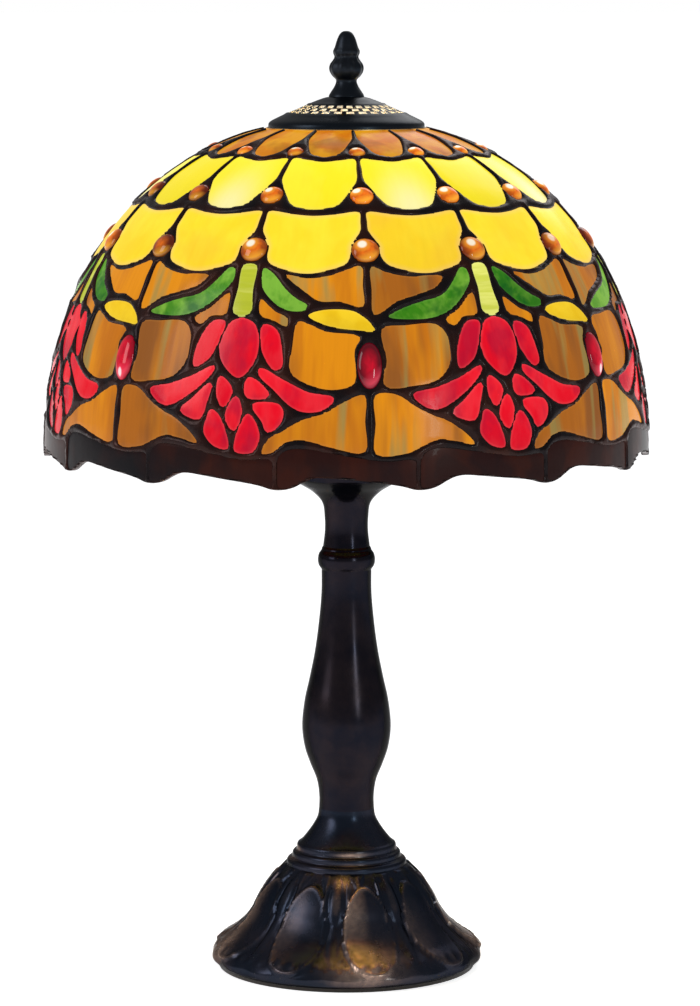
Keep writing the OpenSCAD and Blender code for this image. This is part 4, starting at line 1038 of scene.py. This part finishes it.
facing = add_node(tree, "ShaderNodeLayerWeight", {"Blend": 0.35}).outputs["Facing"]
glow = mixed(tree, facing, warm, tint(255, 196, 110))
tree.links.new(glow, shader.inputs["Emission Color"])
shader.inputs["Base Color"].default_value = (0.06, 0.055, 0.045, 1)
add_piece("bulb_envelope", bm, frosted, "bulb", ["bulb_glass"], 60)

flame = bpy.data.lights.new("bulb_light", "POINT")
flame.energy = 2.4
flame.color = (1, 0.88, 0.7)
flame.shadow_soft_size = 0.03
bulb_light = bpy.data.objects.new("bulb_light", flame)
bulb_light.location = (0, 0.02, 0.402)
scene.collection.objects.link(bulb_light)

# The turn switch: a spindle with a waisted paddle that the finger and thumb fit.
key_z = 282
bm = bmesh.new()
spindle = turned([(0, 0), (2.2, 0), (2.2, 19), (3.9, 19), (4.2, 19.4), (4.2, 22.6), (3.9, 23), (0, 23)],
                 32, False)
part = bpy.data.meshes.new("part")
spindle.to_mesh(part)
spindle.free()
bm.from_mesh(part)
paddle = bmesh.ops.create_cube(bm, size=1)["verts"]
placing = Matrix.Translation((0, 0, 28 * MM)) @ Matrix.Diagonal((16 * MM, 4 * MM, 10 * MM, 1))
bmesh.ops.transform(bm, matrix=placing, verts=paddle)
paddle_edges = list(set(e for v in paddle for e in v.link_edges))
bmesh.ops.subdivide_edges(bm, edges=paddle_edges, cuts=5, use_grid_fill=True)
for v in bm.verts:
    x, y, z = v.co / MM
    if z > 22.9 and abs(y) <= 2.01 and abs(x) <= 8.01 and (abs(x) > 4.3 or abs(y) > 1.99 or z > 23.1):
        waist_share = 1 - 0.42 * max(0, 1 - (z - 23) / 6) ** 2
        round_off = 1 - 0.16 * max(0, (z - 29) / 4) ** 2
        hollow_share = 1 - 0.35 * max(0, 1 - ((abs(x) - 4.4) / 2.6) ** 2)
        v.co = Vector((x * waist_share * round_off, y * hollow_share, z)) * MM
lie_along(bm, -1, key_z)
bmesh.ops.recalc_face_normals(bm, faces=bm.faces)
add_piece("turn_key", bm, bakelite, "switch_key", ["switch_key"], 45)

# ---- Harp --------------------------------------------------------------------------------------------
# Two bowed wires from a strap on the rod, meeting over the bulb in a riveted button with a stud.
# Brass sleeves lock its legs to the strap, and slide up to free it.

harp_x, leg_top, wire = 27, 285, 2.0


def bent(at, radius, lean, turn, steps):
    a0 = math.radians(lean)
    sign = 1 if turn > 0 else -1
    angles = [math.radians(lean + turn * k / steps) for k in range(1, steps + 1)]
    return [(at[0] + sign * radius * (math.cos(a) - math.cos(a0)),
             at[1] + sign * radius * (math.sin(a) - math.sin(a0))) for a in angles]


leg = [(harp_x, 266), (harp_x, 275), (harp_x, leg_top)]
leg += bent(leg[-1], 15, 0, -30, 8)
leg += bent(leg[-1], 95, -30, 77.6, 30)
leg += bent(leg[-1], 12, 47.6, 42.4, 10)


# Round wire or tube along a path of points in metres, with closed ends.
def rod_along(bm, path, radius):
    curve = bpy.data.curves.new("path", "CURVE")
    curve.dimensions = "3D"
    curve.bevel_depth = radius
    curve.bevel_resolution = 4
    curve.use_fill_caps = True
    line = curve.splines.new("POLY")
    line.points.add(len(path) - 1)
    for point, place in zip(line.points, path):
        point.co = (*place, 1)
    holder = bpy.data.objects.new("path", curve)
    scene.collection.objects.link(holder)
    bpy.context.view_layer.update()
    made = holder.to_mesh()
    bm.from_mesh(made)
    holder.to_mesh_clear()
    bpy.data.objects.remove(holder)


button_z = leg[-1][1]
button = [(2, -2.5), (7, -2.5), (7.5, -2), (7.5, 2), (7, 2.5), (2, 2.5)]
bm = turned([(r, button_z + z) for r, z in button], 48)
for side in (-1, 1):
    rod_along(bm, [(side * x * MM, 0, z * MM) for x, z in leg], wire * MM)
bmesh.ops.recalc_face_normals(bm, faces=bm.faces)
add_piece("harp_bow", bm, brass, "harp", ["harp"], 50)
dress(brass, "harp_saddle", "harp_stud", "left_sleeve", "right_sleeve")

# ---- Heat cap ----------------------------------------------------------------------------------------
# A cast cap pierced by three rows of holes, over the hole in the crown. It lets the bulb's heat out.
# It has the blackest finish of all, worn a little brown in places.

cap_bronze = bronze("cap_bronze", (0.008, 0.012, 0.018), (0.01, 0.014, 0.02), (0.1, 0.07, 0.058),
                    rub=0.1, spread=0.4, bump=0.1, edge_shine=0.7)
# Underside and thin hole walls: pale bare metal, lightened as painted light so the holes show bright.
raw_metal_and_glow = bronze("raw_cap_metal_and_glow", (0.8, 0.77, 0.66), (0.7, 0.65, 0.5), (0.9, 0.87, 0.78), rub=0.3,
                   metallic=0.2, bump=0.1)
vents, cuts, hole_cuts, half_hole = 28, 8, 5, 1.2
thin_from, thin_to = 18, 31           # radii between which the wall is thin
ridges = (19.4, 30.4)
rows = [21.5, 24.7, 27.9]
cap_curve = line_through([[3.2, 447], [9, 446.9], [12, 446.2], [18, 443.9], [25, 440.8], [32, 437.9],
                          [36, 436], [38.6, 434.6], [39.6, 433.4]], 8)
radii = [3.2, 6, 9, 10.5, 12, 15, 18, 19.4, 20.3, 21.5, 22.7, 23.5, 24.7, 25.9, 26.7, 27.9, 29.1, 30.4,
         32, 34, 36, 37.6, 38.8, 39.4]
over = [(r, float(np.interp(r, [q[0] for q in cap_curve], [q[1] for q in cap_curve]))) for r in radii]
over = [(r, z + sum(0.35 * math.exp(-((r - ridge) / 0.5) ** 2) for ridge in ridges))
        for r, z in over] + [(39.6, 432.8), (39.6, 431.6)]
thickness = [1.1 if thin_from < r < thin_to else 2.9 - 1.3 * (r / 40) ** 2 for r, z in over[:-3]]
under = [(r, z - thick) for (r, z), thick in zip(over, thickness)]
under += [(37.9, 432.9), (37.7, 432.2), (37.6, 431.6)]
ring_of = {(round(r, 2), round(z, 2)): k for k, (r, z) in enumerate(over)}
bm = turned(over, vents * cuts, closed=False)
pierced = []
for face in bm.faces:
    middle = face.calc_center_median() / MM
    step = (math.degrees(math.atan2(middle.y, middle.x)) % 360) / (360 / (vents * cuts))
    face_r = math.hypot(middle.x, middle.y)
    for k, r in enumerate(rows):
        if abs(face_r - r) < half_hole and (step + k * cuts / 2) % cuts < hole_cuts:
            pierced.append(face)
bmesh.ops.delete(bm, geom=pierced, context="FACES")
grown = bmesh.ops.extrude_face_region(bm, geom=bm.verts[:] + bm.edges[:] + bm.faces[:],
                                      use_keep_orig=True)
# Painted light: the inner faces and the hole walls in the thin band take the pale second material.
for face in [g for g in grown["geom"] if isinstance(g, bmesh.types.BMFace)]:
    face.material_index = 1
    for edge in face.edges:
        for wall in edge.link_faces:
            middle_r = math.hypot(wall.calc_center_median().x, wall.calc_center_median().y) / MM
            if thin_from < middle_r < thin_to:
                wall.material_index = 1
for v in [g for g in grown["geom"] if isinstance(g, bmesh.types.BMVert)]:
    r, z = math.hypot(v.co.x, v.co.y) / MM, v.co.z / MM
    inner_r, inner_z = under[ring_of[(round(r, 2), round(z, 2))]]
    v.co = Vector((v.co.x * inner_r / r, v.co.y * inner_r / r, inner_z * MM))
bmesh.ops.recalc_face_normals(bm, faces=bm.faces)
cap = add_piece("pierced_cap", bm, cap_bronze, "heat_cap", ["heat_cap"], 40)
cap.data.materials.append(raw_metal_and_glow)

# ---- Finial ------------------------------------------------------------------------------------------
# A small turned and cast knob, ribbed like a bud, which screws down on the stud and clamps the cap.

finial_outline = line_through([[9, 447], [8.8, 447.8], [7.6, 449.8], [6.2, 452], [5.3, 454.2],
                               [5.4, 455.6], [6.9, 457.2], [8.2, 459.4], [8.5, 461.4], [8, 463.4],
                               [6.7, 465.2], [5.9, 466.6], [5.9, 467.4], [6.5, 468.8], [6.6, 470],
                               [5.9, 471.8], [5.3, 474], [4.3, 476.8], [2.9, 479], [1.4, 479.9],
                               [0, 480]], 4)
bm = turned([(0, 458), (3.16, 458), (3.16, 447)] + finial_outline, 96, closed=False)
for v in bm.verts:
    z = v.co.z / MM
    if math.hypot(v.co.x, v.co.y) > 4 * MM and 455 < z < 473:
        bud = math.cos(10 * math.atan2(v.co.y,
                                       v.co.x)) * 0.3 * math.sin(math.pi * min(1, (z - 455) / 18))
        v.co += Vector((v.co.x, v.co.y, 0)).normalized() * bud * MM
add_piece("finial_knob", bm, cap_bronze, "finial", ["finial"], 50)

# ---- Under the foot ----------------------------------------------------------------------------------
# A felt pad glued to the casting's edge, a ring of cast iron for weight, and a rubber bushing that
# lines the cord's opening.

felt, tree, shader = new_material("brown_felt", Roughness=0.95, Sheen_Weight=0.3)
fuzz = clouds(tree, 900.0, 4.0)
tree.links.new(mixed(tree, fuzz, tint(18, 16, 15), tint(52, 44, 38)), shader.inputs["Base Color"])
roughen(tree, shader, fuzz, 0.6, 0.0005)
dress(felt, "felt_pad")

iron, tree, shader = new_material("cast_iron", Metallic=0.6)
sand = clouds(tree, 500.0, 4.0)
tree.links.new(mixed(tree, sand, (0.03, 0.03, 0.03, 1), (0.09, 0.085, 0.08, 1)),
               shader.inputs["Base Color"])
tree.links.new(ranged(tree, sand, 0.3, 0.7, 0.5, 0.75), shader.inputs["Roughness"])
dress(iron, "ballast_weight")

rubber, tree, shader = new_material("black_rubber")
bloom = clouds(tree, 260.0, 3.0)
tree.links.new(mixed(tree, bloom, (0.01, 0.01, 0.01, 1), (0.03, 0.03, 0.03, 1)),
               shader.inputs["Base Color"])
tree.links.new(ranged(tree, bloom, 0.3, 0.7, 0.5, 0.7), shader.inputs["Roughness"])
bm = turned([(3.2, 55), (5, 55), (5, 67.5), (6, 67.5), (6.4, 67.9), (6.4, 68.5), (5.9, 69), (3.7, 69),
             (3.2, 68.6)], 64)
lie_along(bm, 1, cord_z)
bmesh.ops.recalc_face_normals(bm, faces=bm.faces)
add_piece("cord_grommet", bm, rubber, "stand", ["cord_bushing"], 35)
